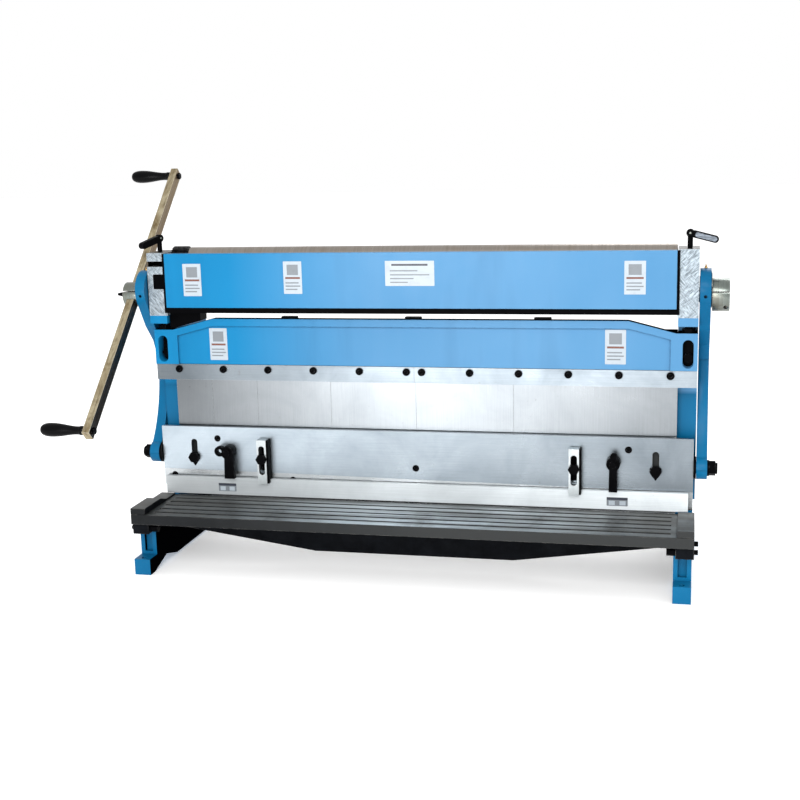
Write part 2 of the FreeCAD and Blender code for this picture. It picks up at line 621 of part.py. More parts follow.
def make_right_housing():
    block = prism("right_housing_block", "yz", [
        (d.housing_front, d.shelf_top), (d.housing_back, d.shelf_top), *housing_roof(),
        (d.housing_front, d.housing_top),
    ], (d.housing_in, d.table_half))
    side = (d.housing_in - d.past, d.table_half + d.past)
    tools = housing_tools("right", side, ("shaft", "lower", "upper"))
    tools += rear_slot_tools("right", side)
    tools.append(rod("right_post_hole", "z", (d.post_low, d.housing_top + d.past),
                     (d.post_x, d.post_y), d.post_radius + d.running_gap))
    node("right_roll_housing", cut("right_housing", block, *tools))


def make_left_housing():
    """The release end: an open saddle under the upper roll, closed by a cap."""
    block = prism("left_housing_block", "yz", [
        (d.housing_front, d.shelf_top), (d.housing_back, d.shelf_top), *housing_roof(),
        (d.seat_back, d.housing_top), (d.seat_back, d.seat_top), (d.saddle_back, d.seat_top),
        (d.saddle_back, d.saddle_top), (d.saddle_front, d.saddle_top), (d.saddle_front, d.seat_top),
        (d.housing_front, d.seat_top),
    ], (-d.table_half, -d.housing_in))
    side = (-d.table_half - d.past, d.past - d.housing_in)
    seat_radius = d.journal_radius + d.running_gap
    tools = housing_tools("left", side, ("shaft", "lower"))
    tools.append(rod("left_seat", "x", side, (d.roll_y, d.upper_roll_z), seat_radius))
    tools += rear_slot_tools("left", side)
    tools.append(box("left_window", (-d.window_out, -d.window_in),
                     (d.housing_front - d.past, d.housing_front + d.window_depth),
                     (d.window_low, d.window_high)))
    tools.append(rod("left_post_hole", "z", (d.post_low, d.seat_top + d.past), (-d.post_x, d.post_y),
                     d.post_radius + d.running_gap))
    node("left_roll_housing", cut("left_housing", block, *tools))
    cap = box("release_cap_block", (-d.table_half, -d.housing_in),
              (d.housing_front, d.seat_back - d.slide_gap), (d.roof_low, d.housing_top))
    seat = rod("cap_seat", "x", side, (d.roll_y, d.upper_roll_z), seat_radius)
    hole = rod("cap_post_hole", "z", (d.roof_low - d.past, d.housing_top + d.past),
               (-d.post_x, d.post_y), d.post_radius + d.running_gap)
    node("release_cap", cut("cap", cap, seat, hole))


def ring(name, axis, span, centre, outer, inner):
    body = rod(name + "_outer", axis, span, centre, outer)
    hole = rod(name + "_inner", axis, (span[0] - d.past, span[1] + d.past), centre, inner)
    return cut(name, body, hole)


def make_bushes():
    bushes = []
    for name, (y, z, radius) in bearing_centres().items():
        bushes.append(ring(f"right_{name}_bush", "x", (d.housing_in, d.table_half), (y, z),
                           radius + d.bush_wall, radius + d.running_gap))
        if name != "upper":
            bushes.append(ring(f"left_{name}_bush", "x", (-d.table_half, -d.housing_in), (y, z),
                               radius + d.bush_wall, radius + d.running_gap))
    node("bearing_bushes", group("bush_set", bushes))


def make_guard():
    sheet_t = d.guard_sheet
    front = d.guard_front
    back = front + d.guard_flange
    node("roll_guard", prism("guard_sheet_metal", "yz", [
        (front, d.guard_low), (front, d.guard_high), (back, d.guard_high),
        (back, d.guard_high - sheet_t), (front + sheet_t, d.guard_high - sheet_t),
        (front + sheet_t, d.guard_low + sheet_t), (back, d.guard_low + sheet_t), (back, d.guard_low),
    ], (-d.guard_end, d.guard_end)))
    make_guard_rail(front + sheet_t)
    make_gear_cover()


def make_guard_rail(face):
    """Angle under the guard with a wider front strip and an upright at each end."""
    thick = d.rail_bar_sheet
    height = (d.rail_bar_low, d.guard_low)
    angle = prism("guard_rail_angle", "yz", [
        (face, d.rail_bar_low), (face, d.guard_low), (d.rail_bar_back, d.guard_low),
        (d.rail_bar_back, d.guard_low - thick), (face + thick, d.guard_low - thick),
        (face + thick, d.rail_bar_low),
    ], (-d.housing_in, d.housing_in))
    strip = box("guard_rail_strip", (-d.upright_out, d.upright_out), (face, face + thick), height)
    uprights = []
    for index, side in enumerate(((-d.upright_out, -d.guard_end), (d.guard_end, d.upright_out))):
        uprights.append(box(f"guard_upright_{index}", side, (face, d.upright_back),
                            (d.guard_low - thick, d.guard_high)))
    node("guard_rail", fuse("guard_rail_frame", angle, strip, *uprights))


def make_gear_cover():
    """Open tray under the gears, its floor sloped like the beam below it."""
    wall = d.cover_sheet
    tray = prism("gear_cover_tray", "xz", [
        (-d.housing_in, d.cover_out_low), (-d.cover_reach, d.cover_in_low),
        (-d.cover_reach, d.cover_high), (-d.housing_in, d.cover_high),
    ], (d.cover_front, d.cover_back))
    inside = prism("gear_cover_inside", "xz", [
        (wall - d.housing_in, d.cover_out_low + wall), (-d.cover_reach - wall, d.cover_in_low + wall),
        (-d.cover_reach - wall, d.cover_high + d.past), (wall - d.housing_in, d.cover_high + d.past),
    ], (d.cover_front + wall, d.cover_back - wall))
    node("gear_cover", cut("gear_cover_cut", tray, inside))


def make_tie_bars():
    span = (-d.frame_in, d.frame_in)
    bars = [rod("tie_high", "x", span, (d.tie_high_y, d.tie_high_z), d.tie_radius),
            rod("tie_low", "x", span, (d.tie_low_y, d.tie_low_z), d.tie_radius)]
    node("rear_tie_bars", group("tie_set", bars))


def involute(angle):
    return math.tan(angle) - angle


def gear_wire(teeth, phase):
    """Outline of an involute spur gear with one tooth centred on the phase angle."""
    module = DIMENSIONS["gear_module"]
    pressure = math.radians(PRESSURE_ANGLE)
    pitch = module * teeth / 2
    base = pitch * math.cos(pressure)
    tip = pitch + module
    root = pitch - DEDENDUM * module
    half_tooth = math.pi / (2 * teeth) - DIMENSIONS["gear_backlash"] / (2 * pitch)
    flank_at_base = half_tooth + involute(pressure)
    flank = []
    for step in range(FLANK_STEPS + 1):
        radius = base + (tip - base) * step / FLANK_STEPS
        roll = math.acos(min(1.0, base / radius))
        flank.append((radius, flank_at_base - involute(roll)))
    points = []
    for tooth in range(teeth):
        middle = phase + 2 * math.pi * tooth / teeth
        rising = [(root, -flank_at_base)] + [(radius, -half) for radius, half in flank]
        falling = [(radius, half) for radius, half in reversed(flank)] + [(root, flank_at_base)]
        for radius, offset in rising + falling:
            angle = middle + offset
            points.append(Vector(0, radius * math.cos(angle), radius * math.sin(angle)))
    points.append(points[0])
    return Part.makePolygon(points)


def make_gear(label, body_x, centre, teeth, phase, bore):
    """A spur gear about X; angles run from +Y towards +Z."""
    feature = doc.addObject("Part::Feature", label + "_wheel")
    width = body_x[1].value - body_x[0].value
    blank = Part.Face(gear_wire(teeth, phase)).extrude(Vector(width, 0, 0))
    past = DIMENSIONS["past"]
    hole = Part.makeCylinder(bore.value, width + 2 * past, Vector(-past, 0, 0), Vector(1, 0, 0))
    feature.Shape = blank.cut(hole)
    feature.Placement = FreeCAD.Placement(
        Vector(body_x[0].value, centre[0].value, centre[1].value), Rotation())
    node(label, feature)


def mesh_phases():
    """Tooth phases that put each pair in mesh along its line of centres."""
    roll_teeth = DIMENSIONS["roll_teeth"]
    crank_teeth = DIMENSIONS["crank_teeth"]
    lower_to_crank = math.atan2(DIMENSIONS["shaft_z"] - DIMENSIONS["lower_roll_z"],
                                DIMENSIONS["shaft_y"] - DIMENSIONS["roll_y"])
    lower = lower_to_crank
    crank = lower_to_crank + math.pi + math.pi / crank_teeth
    up = math.pi / 2
    offset = (up - lower) / (2 * math.pi / roll_teeth)
    upper = -up + (offset - math.floor(offset)) * 2 * math.pi / roll_teeth + math.pi / roll_teeth
    return crank, lower, upper


def make_rolls():
    ends = (-d.journal_end, d.journal_end)
    body = (d.roll_start, d.roll_end)
    places = {"upper_roll": (d.roll_y, d.upper_roll_z), "lower_roll": (d.roll_y, d.lower_roll_z),
              "rear_roll": (d.rear_roll_y, d.rear_roll_z)}
    for name, centre in places.items():
        barrel = rod(name + "_barrel", "x", body, centre, d.roll_radius)
        journal = rod(name + "_journal", "x", ends, centre, d.journal_radius)
        node(name, fuse(name + "_bar", barrel, journal))
    crank, lower, upper = mesh_phases()
    side = (-d.gear_outer, -d.gear_inner)
    bore = d.journal_radius + d.bush_gap
    make_gear("lower_roll_gear", side, places["lower_roll"], DIMENSIONS["roll_teeth"], lower, bore)
    make_gear("upper_roll_gear", side, places["upper_roll"], DIMENSIONS["roll_teeth"], upper, bore)
    make_gear("crank_gear", side, (d.shaft_y, d.shaft_z), DIMENSIONS["crank_teeth"], crank,
              d.shaft_radius + d.bush_gap)


def make_rear_roll_blocks():
    blocks = []
    for index, sign in enumerate((-1, 1)):
        side = sorted((sign * d.block_in, sign * d.journal_end), key=lambda size: size.value)
        square = box(f"rear_block_square_{index}", side,
                     (d.rear_roll_y - d.block_half, d.rear_roll_y + d.block_half),
                     (d.rear_roll_z - d.block_half, d.rear_roll_z + d.block_half))
        stud_x = sign * (d.block_in + d.journal_end) / 2
        stud = rod(f"rear_block_stud_{index}", "z", (d.rear_roll_z + d.block_half - d.past, d.stud_top),
                   (stud_x, d.rear_roll_y + d.stud_shift), d.stud_radius)
        bore = rod(f"rear_block_bore_{index}", "x", (side[0] - d.past, side[1] + d.past),
                   (d.rear_roll_y, d.rear_roll_z), d.journal_radius + d.running_gap)
        blocks.append(cut(f"rear_block_{index}", fuse(f"rear_block_solid_{index}", square, stud), bore))
    node("rear_roll_blocks", group("rear_block_set", blocks))


def make_roll_lever(side, turn):
    """Post screw with a drooping lever; turn is the arm's bearing from +X."""
    sign = 1 if side == "right" else -1
    x = sign * d.post_x
    thick = d.lever_thick
    reach = d.lever_reach
    post = rod(side + "_post", "z", (d.post_low + d.lever_gap, d.post_high), (x, d.post_y),
               d.post_radius)
    hub = rod(side + "_lever_hub", "z", (d.post_high - thick, d.post_high + thick), (x, d.post_y),
              d.lever_hub_radius)
    body, sketch = new_body_with_sketch(side + "_lever_arm", "xz")
    add_outline(sketch, [(0, -thick), (0, thick), (reach, thick - d.lever_drop),
                         (reach, -thick - d.lever_drop)])
    pad = body.newObject("PartDesign::Pad", side + "_lever_pad")
    pad.Profile = sketch
    pad.Midplane = True
    bind(pad, "Length", 2 * d.lever_half)
    body.Placement = FreeCAD.Placement(Vector(), Rotation(Vector(0, 0, 1), turn.value))
    place(body, x, d.post_y, d.post_high)
    tip = (x + reach * cosine(turn), d.post_y + reach * sine(turn))
    middle = d.post_high - d.lever_drop
    end = rod(side + "_lever_end", "z", (middle - thick, middle + thick), tip, d.lever_half)
    node(side + "_roll_lever", fuse(side + "_lever", post, hub, body, end))


def eccentric_centre():
    """Where the eccentric's centre stands at rest."""
    y = d.shaft_y + d.eccentric * cosine(d.eccentric_rest)
    z = d.shaft_z + d.eccentric * sine(d.eccentric_rest)
    return y, z


def make_crankshaft():
    axis = (d.shaft_y, d.shaft_z)
    centre = eccentric_centre()
    main = rod("shaft_main", "x", (-d.rod_in, d.rod_in), axis, d.shaft_radius)
    pieces = [main]
    for index, sign in enumerate((-1, 1)):
        end = d.stub_end_right if sign > 0 else d.stub_end_left
        disc = sorted((sign * (d.rod_in - d.past), sign * d.keeper_in), key=lambda size: size.value)
        keeper = sorted((sign * d.keeper_in, sign * d.keeper_out), key=lambda size: size.value)
        stub = sorted((sign * d.keeper_in, sign * end), key=lambda size: size.value)
        pieces.append(rod(f"eccentric_{index}", "x", disc, centre, d.eccentric_radius))
        pieces.append(rod(f"keeper_{index}", "x", keeper, centre, d.keeper_radius))
        pieces.append(rod(f"stub_{index}", "x", stub, axis, d.shaft_radius))
    node("crankshaft", fuse("shaft", *pieces))


def hub_split_tool(name, side, radius):
    return box(name, side, (d.shaft_y - radius - d.past, d.shaft_y),
               (d.shaft_z + d.hub_split_z, d.shaft_z + d.hub_split_z + d.hub_split))


def make_hubs():
    axis = (d.shaft_y, d.shaft_z)
    right = rod("right_hub_body", "x", (d.hub_in, d.hub_out), axis, d.right_hub_radius)
    bore = rod("right_hub_bore", "x", (d.hub_in - d.past, d.stub_end_right + d.bore_relief), axis,
               d.shaft_radius + d.bush_gap)
    split = hub_split_tool("right_hub_split", (d.hub_in - d.past, d.hub_out + d.past), d.right_hub_radius)
    hole = rod("right_hub_hole", "y", (d.shaft_y - d.right_hub_radius - d.past, d.shaft_y),
               (d.hub_hole_x, d.shaft_z - d.hub_hole_z), d.hub_hole_radius)
    node("right_hub", cut("right_hub_cut", right, bore, split, hole))
    left = rod("left_hub_body", "x", (-d.hub_out, -d.hub_in), axis, d.left_hub_radius)
    bore = rod("left_hub_bore", "x", (-d.stub_end_left - d.bore_relief, d.past - d.hub_in), axis,
               d.shaft_radius + d.bush_gap)
    split = hub_split_tool("left_hub_split", (-d.hub_out - d.past, d.past - d.hub_in), d.left_hub_radius)
    channel = crank_bar_block("left_hub_channel", d.bar_gap)
    tapped = rod("left_hub_tapping", "x", (-d.hub_out - d.past, -d.bar_out), axis,
                 d.hub_screw_neck + d.bush_gap)
    node("left_hub", cut("left_hub_cut", left, bore, split, channel, tapped))
    neck = rod("hub_screw_shank", "x", (-d.hub_out, -d.bar_out - d.bar_gap), axis, d.hub_screw_neck)
    nose = cone("hub_screw_nose", "x", (-d.hub_screw_end, -d.hub_out), axis, d.hub_screw_tip,
                d.hub_screw_radius)
    node("hub_screw", fuse("hub_screw_solid", neck, nose))


def crank_bar_block(name, gap):
    """The straight bar through the hub, leaning back at its top."""
    width = d.bar_width / 2 + gap
    body, sketch = new_body_with_sketch(name, "yz")
    add_outline(sketch, [(-width, -d.bar_half), (-width, d.bar_half), (width, d.bar_half),
                         (width, -d.bar_half)])
    pad = body.newObject("PartDesign::Pad", name + "_pad")
    pad.Profile = sketch
    bind(pad, "Length", d.bar_out - d.bar_in + 2 * gap)
    body.Placement = FreeCAD.Placement(Vector(), Rotation(Vector(1, 0, 0), -DIMENSIONS["bar_lean"]))
    place(body, -d.bar_out - gap, d.shaft_y, d.shaft_z)
    return body


def grip_centre(sign):
    y = d.shaft_y + sign * d.grip_reach * sine(d.bar_lean)
    z = d.shaft_z + sign * d.grip_reach * cosine(d.bar_lean)
    return y, z


def make_crank():
    bar = crank_bar_block("crank_bar_blank", Size(0))
    holes = []
    spindles = []
    for name, sign in (("upper", 1), ("lower", -1)):
        centre = grip_centre(sign)
        holes.append(rod(f"crank_{name}_hole", "x", (-d.bar_out - d.past, d.past - d.bar_in), centre,
                         d.spindle_radius + d.bush_gap))
        shank = rod(f"{name}_spindle_shank", "x", (-d.spindle_end, -d.bar_in + d.past), centre,
                    d.spindle_radius)
        nut = hexagon(f"{name}_spindle_nut", "x", (-d.bar_in, d.spindle_head_high - d.bar_in), centre,
                      d.spindle_head)
        washer = rod(f"{name}_spindle_washer", "x", (-d.grip_in, -d.bar_out), centre, d.washer_radius)
        spindles.append(fuse(f"{name}_spindle", shank, nut, washer))
        make_grip(name, centre)
    node("crank_bar", cut("crank_bar_cut", bar, *holes))
    node("grip_spindles", group("spindle_set", spindles))


def make_grip(name, centre):
    """Turned bulbous handle: a profile revolved about its spindle."""
    body, sketch = new_body_with_sketch(name + "_grip_body", "xy")
    length = d.grip_end - d.grip_in
    bore = d.spindle_radius + d.grip_bore_gap
    pocket = d.spindle_end - d.grip_in + d.grip_end_gap
    swell = [(-share * length, d.grip_belly - less) for share, less in GRIP_SWELL]
    add_outline(sketch, [
        (-d.grip_end_gap, bore), (-d.grip_end_gap, d.grip_neck), *swell,
        (-length, Size(0)), (-pocket, Size(0)), (-pocket, bore),
    ])
    turned = body.newObject("PartDesign::Revolution", name + "_grip_turn")
    turned.Profile = sketch
    turned.ReferenceAxis = (sketch, ["H_Axis"])
    turned.Angle = 360
    place(body, -d.grip_in, centre[0], centre[1])
    node(name + "_grip", body)


def mean_lift():
    """Mean gap in height between the eccentric's centre and the steady line that the beam keeps."""
    rest = DIMENSIONS["eccentric_rest"]
    sweep = DIMENSIONS["eccentric_sweep"]
    low = math.radians(-sweep - rest)
    high = math.radians(sweep - rest)
    rate = lift_rate() / DIMENSIONS["eccentric"]
    values = []
    for step in range(101):
        turn = low + (high - low) * step / 100
        values.append(math.sin(math.radians(rest) + turn) - rate * turn)
    return (max(values) + min(values)) / 2


def lift_rate():
    """Beam travel in millimetres for each radian of the crank, the slope that fits the sweep best."""
    return LIFT_SHARE * DIMENSIONS["eccentric"]


def strap_centre():
    y = d.shaft_y + d.eccentric * (1 + cosine(d.eccentric_sweep)) / 2
    z = d.shaft_z + d.eccentric * mean_lift()
    return y, z


def make_connecting_rods():
    span = (d.rod_in, d.rod_out)
    top = strap_centre()
    boss_centre = (d.boss_y, top[1])
    boss = rod("rod_boss", "x", span, boss_centre, d.boss_radius)
    low = rod("rod_pin_boss", "x", span, (d.pin_y, d.pin_z), d.pin_boss_radius)
    chord = top[1] - d.pin_z
    bend = (chord * chord / 4 + d.rod_bow * d.rod_bow) / (2 * d.rod_bow)
    middle_y = (top[0] + d.pin_y) / 2
    centre = (middle_y + d.rod_bow - bend, (top[1] + d.pin_z) / 2)
    outer = rod("rod_bow_outer", "x", span, centre, bend + d.rod_band)
    inner = rod("rod_bow_inner", "x", (d.rod_in - d.past, d.rod_out + d.past), centre, bend - d.rod_band)
    window = box("rod_bow_window", span, (centre[0], centre[0] + bend + d.rod_band + d.past),
                 (d.pin_z, top[1]))
    band = common("rod_bow_band", cut("rod_bow_ring", outer, inner), window)
    neck = prism("rod_neck", "yz", [
        (d.boss_y - d.boss_radius * cosine(d.neck_lean), top[1] - d.boss_radius * sine(d.neck_lean)),
        (d.boss_y, d.neck_front_z), (d.neck_knee_y, d.neck_knee_z), (d.neck_end_y, d.neck_end_z),
        (d.neck_rear_y, d.neck_end_z), (d.neck_rear_y, d.neck_front_z), (top[0], top[1]),
        boss_centre,
    ], span)
    solid = fuse("rod_solid", boss, low, band, neck)
    through = (d.rod_in - d.past, d.rod_out + d.past)
    strap = rod("rod_strap_bore", "x", through, top, d.eccentric_radius + d.strap_clearance)
    pin = rod("rod_pin_bore", "x", through, (d.pin_y, d.pin_z), d.pin_radius + d.pin_gap)
    middle = (d.rod_in + d.rod_out) / 2
    nose = d.boss_y - d.boss_radius
    oil = rod("rod_oil_hole", "y", (nose - d.past, nose + d.oil_hole_depth), (middle, d.shaft_z),
              d.oil_hole_radius)
    crown = top[1] + d.boss_radius
    tapped = (crown - d.nipple_sink - d.past, crown + d.past)
    tapping = rod("rod_nipple_hole", "z", tapped, (middle, d.boss_y),
                  d.nipple_radius + d.bush_gap)
    right = cut("right_rod", solid, strap, pin, oil, tapping)
    node("right_connecting_rod", right)
    node("left_connecting_rod", mirrored("left_rod", right))
    nipples = []
    for index, sign in enumerate((-1, 1)):
        nipples.append(rod(f"nipple_{index}", "z", (crown - d.nipple_sink, crown + d.nipple_high),
                           (sign * middle, d.boss_y), d.nipple_radius))
    node("grease_nipples", group("nipple_set", nipples))


def make_rod_pins():
    pins = []
    nuts = []
    centre = (d.pin_y, d.pin_z)
    for index, sign in enumerate((-1, 1)):
        spans = []
        for start, end in ((d.pin_disc_in, d.pin_disc_out), (d.pin_disc_in, d.pin_end),
                           (d.pin_nut_in, d.pin_nut_out), (d.rod_out + d.pin_nut_gap, d.pin_nut_in)):
            spans.append(sorted((sign * start, sign * end), key=lambda size: size.value))
        disc = rod(f"pin_disc_{index}", "x", spans[0], centre, d.pin_boss_radius)
        shank = rod(f"pin_shank_{index}", "x", spans[1], centre, d.pin_radius)
        pins.append(fuse(f"rod_pin_{index}", disc, shank))
        hole = rod(f"pin_nut_hole_{index}", "x", (spans[1][0] - d.past, spans[1][1] + d.past), centre,
                   d.pin_radius + d.bush_gap)
        nut = hexagon(f"pin_nut_{index}", "x", spans[2], centre, d.pin_nut_hex)
        washer = rod(f"pin_washer_{index}", "x", spans[3], centre, d.pin_washer_radius)
        nuts.append(cut(f"rod_nut_{index}", fuse(f"rod_nut_solid_{index}", nut, washer), hole))
    node("rod_pins", group("rod_pin_set", pins))
    node("rod_nuts", group("rod_nut_set", nuts))


def make_moving_beam():
    wide = (-d.ram_half, d.ram_half)
    body = box("ram_block", wide, (d.plate_back, d.ram_back), (d.ram_low, d.ram_high))
    arms = []
    for index, sign in enumerate((-1, 1)):
        ends = (sign * (d.ram_half - d.past), sign * (d.pin_disc_in - d.pin_disc_gap))
        side = sorted(ends, key=lambda size: size.value)
        arms.append(box(f"ram_arm_{index}", side, (d.plate_back, d.ram_arm_back),
                        (d.pin_z - d.ram_arm_half, d.pin_z + d.ram_arm_half)))
    casting = fuse("ram_casting", body, *arms)
    bays = []
    half = (d.ram_bay - d.ram_rib) / 2
    for index in range(4):
        middle = (index - 1.5) * d.ram_bay
        bays.append(box(f"ram_bay_{index}", (middle - half, middle + half),
                        (d.plate_back + d.ram_wall, d.ram_back + d.past),
                        (d.ram_low + d.ram_flange, d.ram_high - d.ram_flange)))
    node("moving_beam", cut("ram", casting, *bays))
    node("v_die", prism("v_die_bar", "yz", [
        (d.die_front, d.die_low), (d.die_front, d.die_top), (d.finger_tip_y - d.die_mouth, d.die_top),
        (d.finger_tip_y, d.die_top - d.die_depth), (d.finger_tip_y + d.die_mouth, d.die_top),
        (d.die_back, d.die_top), (d.die_back, d.die_low),
    ], (-d.die_half, d.die_half)))


def blade_edge_at(x):
    """Height of the raked cutting edge at a place along the beam."""
    rake = (d.blade_edge_left - d.blade_edge_right) / (2 * d.plate_end)
    return (d.blade_edge_left + d.blade_edge_right) / 2 - rake * x


def make_face_plate():
    thick = (d.plate_front, d.plate_back)
    left = blade_edge_at(-d.plate_end)
    right = blade_edge_at(d.plate_end)
    plate = prism("face_plate_sheet", "xz", [
        (-d.plate_end, left + d.blade_high), (-d.plate_end, d.plate_top), (d.plate_end, d.plate_top),
        (d.plate_end, right + d.blade_high),
    ], thick)
    tools = []
    through = (d.plate_front - d.past, d.plate_back + d.past)
    for index, sign in enumerate((-1, 1)):
        tools.append(slot_tool(f"plate_slot_{index}", sign * d.slot_nut_x,
                               d.slot_nut_z - d.plate_slot_drop, d.plate_slot_top, d.plate_slot_half,
                               through))
        tools.append(rod(f"plate_drill_{index}", "y", through, (sign * d.drill_x, d.drill_z),
                         d.drill_radius))
        tools.append(rod(f"plate_guide_hole_{index}", "y", through, (sign * d.bracket_x, d.guide_bolt_z),
                         d.guide_bolt_radius + d.hole_gap))
        tools.append(rod(f"plate_cam_hole_{index}", "y", through, (sign * d.cam_x, d.cam_z),
                         d.cam_bolt_radius + d.hole_gap))
    tools.append(rod("plate_centre_hole", "y", through, (Size(0), d.centre_hole_z), d.drill_radius))
    node("beam_face_plate", cut("face_plate", plate, *tools))
    blade_thick = (d.plate_front + d.blade_drop, d.plate_back)
    blade = prism("upper_blade_bar", "xz", [
        (-d.plate_end, left), (-d.plate_end, left + d.blade_high - d.blade_gap),
        (d.plate_end, right + d.blade_high - d.blade_gap), (d.plate_end, right),
    ], blade_thick)
    screws = []
    holes = []
    front = d.plate_front + d.blade_drop
    for index in range(5):
        x = (index - 2) * d.blade_screw_pitch
        centre = (x, blade_edge_at(x) + d.blade_screw_up)
        holes.append(rod(f"blade_hole_{index}", "y", (front - d.past, front + d.blade_hole_depth), centre,
                         d.blade_screw_radius + d.hole_gap))
        seated = (front - d.blade_screw_high + d.past, front + d.blade_hole_depth)
        head = rod(f"blade_screw_head_{index}", "y", seated, centre,
                   d.blade_screw_radius)
        recess = (front - d.blade_screw_high, front + d.blade_socket_depth)
        socket = hexagon(f"blade_socket_{index}", "y", recess, centre,
                         d.socket_radius)
        screws.append(cut(f"blade_screw_{index}", head, socket))
    node("upper_blade", cut("upper_blade_cut", blade, *holes))
    node("blade_screws", group("blade_screw_set", screws))


def make_plate_fixings():
    nuts = []
    guides = []
    cams = []
    for index, sign in enumerate((-1, 1)):
        x = sign * d.slot_nut_x
        seat = d.plate_front - d.point_washer
        nuts.append(hexagon(f"slot_nut_{index}", "y", (seat - d.slot_nut_high, seat),
                            (x, d.slot_nut_z), d.slot_nut_hex))
        nuts.append(prism(f"slot_washer_{index}", "xz", [
            (x - d.point_half, d.slot_nut_z + d.point_rise),
            (x + d.point_half, d.slot_nut_z + d.point_rise),
            (x + d.point_half, d.slot_nut_z - d.point_shoulder), (x, d.slot_nut_z - d.point_drop),
            (x - d.point_half, d.slot_nut_z - d.point_shoulder),
        ], (seat, d.plate_front)))
        centre = (sign * d.bracket_x, d.guide_bolt_z)
        head_back = d.bracket_front - d.guide_bolt_gap
        head = hexagon(f"guide_bolt_head_{index}", "y", (head_back - d.guide_bolt_head, head_back),
                       centre, d.guide_bolt_hex)
        shank = rod(f"guide_bolt_shank_{index}", "y", (head_back - d.past, d.plate_back), centre,
                    d.guide_bolt_radius)
        guides.append(fuse(f"guide_bolt_{index}", head, shank))
        centre = (sign * d.cam_x, d.cam_z)
        head_back = d.cam_front - d.cam_bolt_gap
        head = rod(f"cam_bolt_head_{index}", "y", (head_back - d.cam_bolt_high, head_back), centre,
                   d.cam_bolt_head)
        shank = rod(f"cam_bolt_shank_{index}", "y", (head_back - d.past, d.plate_back), centre,
                    d.cam_bolt_radius)
        cams.append(fuse(f"cam_bolt_{index}", head, shank))
    node("slot_nuts", group("slot_nut_set", nuts))
    node("bracket_guide_bolts", group("guide_bolt_set", guides))
    node("cam_bolts", group("cam_bolt_set", cams))


def make_hold_down():
    bar = box("hold_down_blank", (-d.bar_end, d.bar_end), (d.hold_front, d.hold_back),
              (d.hold_low, d.hold_high))
    node("hold_down_bar", bar)
    brackets = []
    for index, sign in enumerate((-1, 1)):
        x = sign * d.bracket_x
        side = (x - d.bracket_half, x + d.bracket_half)
        block = box(f"bracket_block_{index}", side, (d.bracket_front, d.bracket_back),
                    (d.bracket_low, d.bracket_high))
        notch = box(f"bracket_notch_{index}", (side[0] - d.past, side[1] + d.past),
                    (d.bracket_toe_back, d.bracket_back + d.past), (d.bracket_low - d.past, d.bracket_step))
        slot = slot_tool(f"bracket_slot_{index}", x, d.bracket_slot_low, d.bracket_slot_high,
                         d.bracket_slot_half, (d.bracket_front - d.past, d.bracket_back + d.past))
        brackets.append(cut(f"bracket_{index}", block, notch, slot))
    node("hold_down_brackets", group("bracket_set", brackets))


def cam_lever_blank(side, x, arm_x, arm_half, arm_wide, eye, eye_radius):
    """Hub, drooping arm and eye of a cam lever, before its holes."""
    span = (d.cam_front, d.cam_arm_back)
    hub = rod(side + "_cam_hub", "y", (d.cam_front, d.cam_back), (x, d.cam_z), d.cam_hub_radius)
    arm = prism(side + "_cam_arm", "xz", [
        (arm_x - arm_half, d.cam_z), (arm_x - arm_wide, d.cam_arm_low),
        (arm_x + arm_wide, d.cam_arm_low), (arm_x + arm_half, d.cam_z),
    ], span)
    ear = rod(side + "_cam_eye", "y", span, eye, eye_radius)
    return fuse(side + "_cam_solid", hub, arm, ear)


def cam_hole(name, centre, radius):
    return rod(name, "y", (d.cam_front - d.past, d.cam_back + d.past), centre, radius)


def make_cam_levers():
    """The left lever has a drilled eye beside its hub, and the right one a small knob on top."""
    x = -d.cam_x
    eye = (x + d.left_eye_shift, d.cam_z + d.left_eye_rise)
    solid = cam_lever_blank("left", x, x + d.left_arm_shift, d.left_arm_half, d.left_arm_wide, eye,
                            d.left_eye_radius)
    bore_radius = d.cam_bolt_radius + d.running_gap
    node("left_cam_lever", cut("left_cam", solid, cam_hole("left_cam_bore", (x, d.cam_z), bore_radius),
                               cam_hole("left_cam_eye_hole", eye, d.left_eye_hole)))
    x = d.cam_x
    eye = (x + d.right_eye_shift, d.cam_z + d.right_eye_rise)
    solid = cam_lever_blank("right", x, x + d.right_arm_shift, d.right_arm_half, d.right_arm_wide, eye,
                            d.right_eye_radius)
    node("right_cam_lever", cut("right_cam", solid,
                                cam_hole("right_cam_bore", (x, d.cam_z), bore_radius)))


def check_objects():
    """Stop before anything is written if an object failed."""
    for feature in doc.Objects:
        bad = [state for state in feature.State if state in ("Invalid", "Error")]
        if bad:
            raise RuntimeError(f"{feature.Name} ({feature.Label}) is {bad}")
    for feature in nodes:
        if feature.Shape.isNull() or not feature.Shape.isValid() or not feature.Shape.Solids:
            raise RuntimeError(f"{feature.Label} has no valid solid")


def write_parts():
    os.makedirs("parts", exist_ok=True)
    for feature in nodes:
        feature.Shape.exportStep(os.path.join("parts", feature.Label + ".step"))


def main():
    fill_sheet()
    make_side_frames()
    make_table()
    make_upper_beam()
    make_beam_fixings()
    make_clamp()
    make_fingers()
    make_right_housing()
    make_left_housing()
    make_bushes()
    make_guard()
    make_tie_bars()
    make_rolls()
    make_rear_roll_blocks()
    make_roll_lever("right", d.right_lever_turn)
    make_roll_lever("left", d.left_lever_turn)
    make_crankshaft()
    make_hubs()
    make_crank()
    make_connecting_rods()
    make_rod_pins()
    make_moving_beam()
    make_face_plate()
    make_plate_fixings()
    make_hold_down()
    make_cam_levers()
    doc.recompute()
    check_objects()
    write_parts()
    strap_y, strap_z = strap_centre()
    print(f"{len(nodes)} nodes; strap centre {strap_y.value:.2f} {strap_z.value:.2f}")


main()
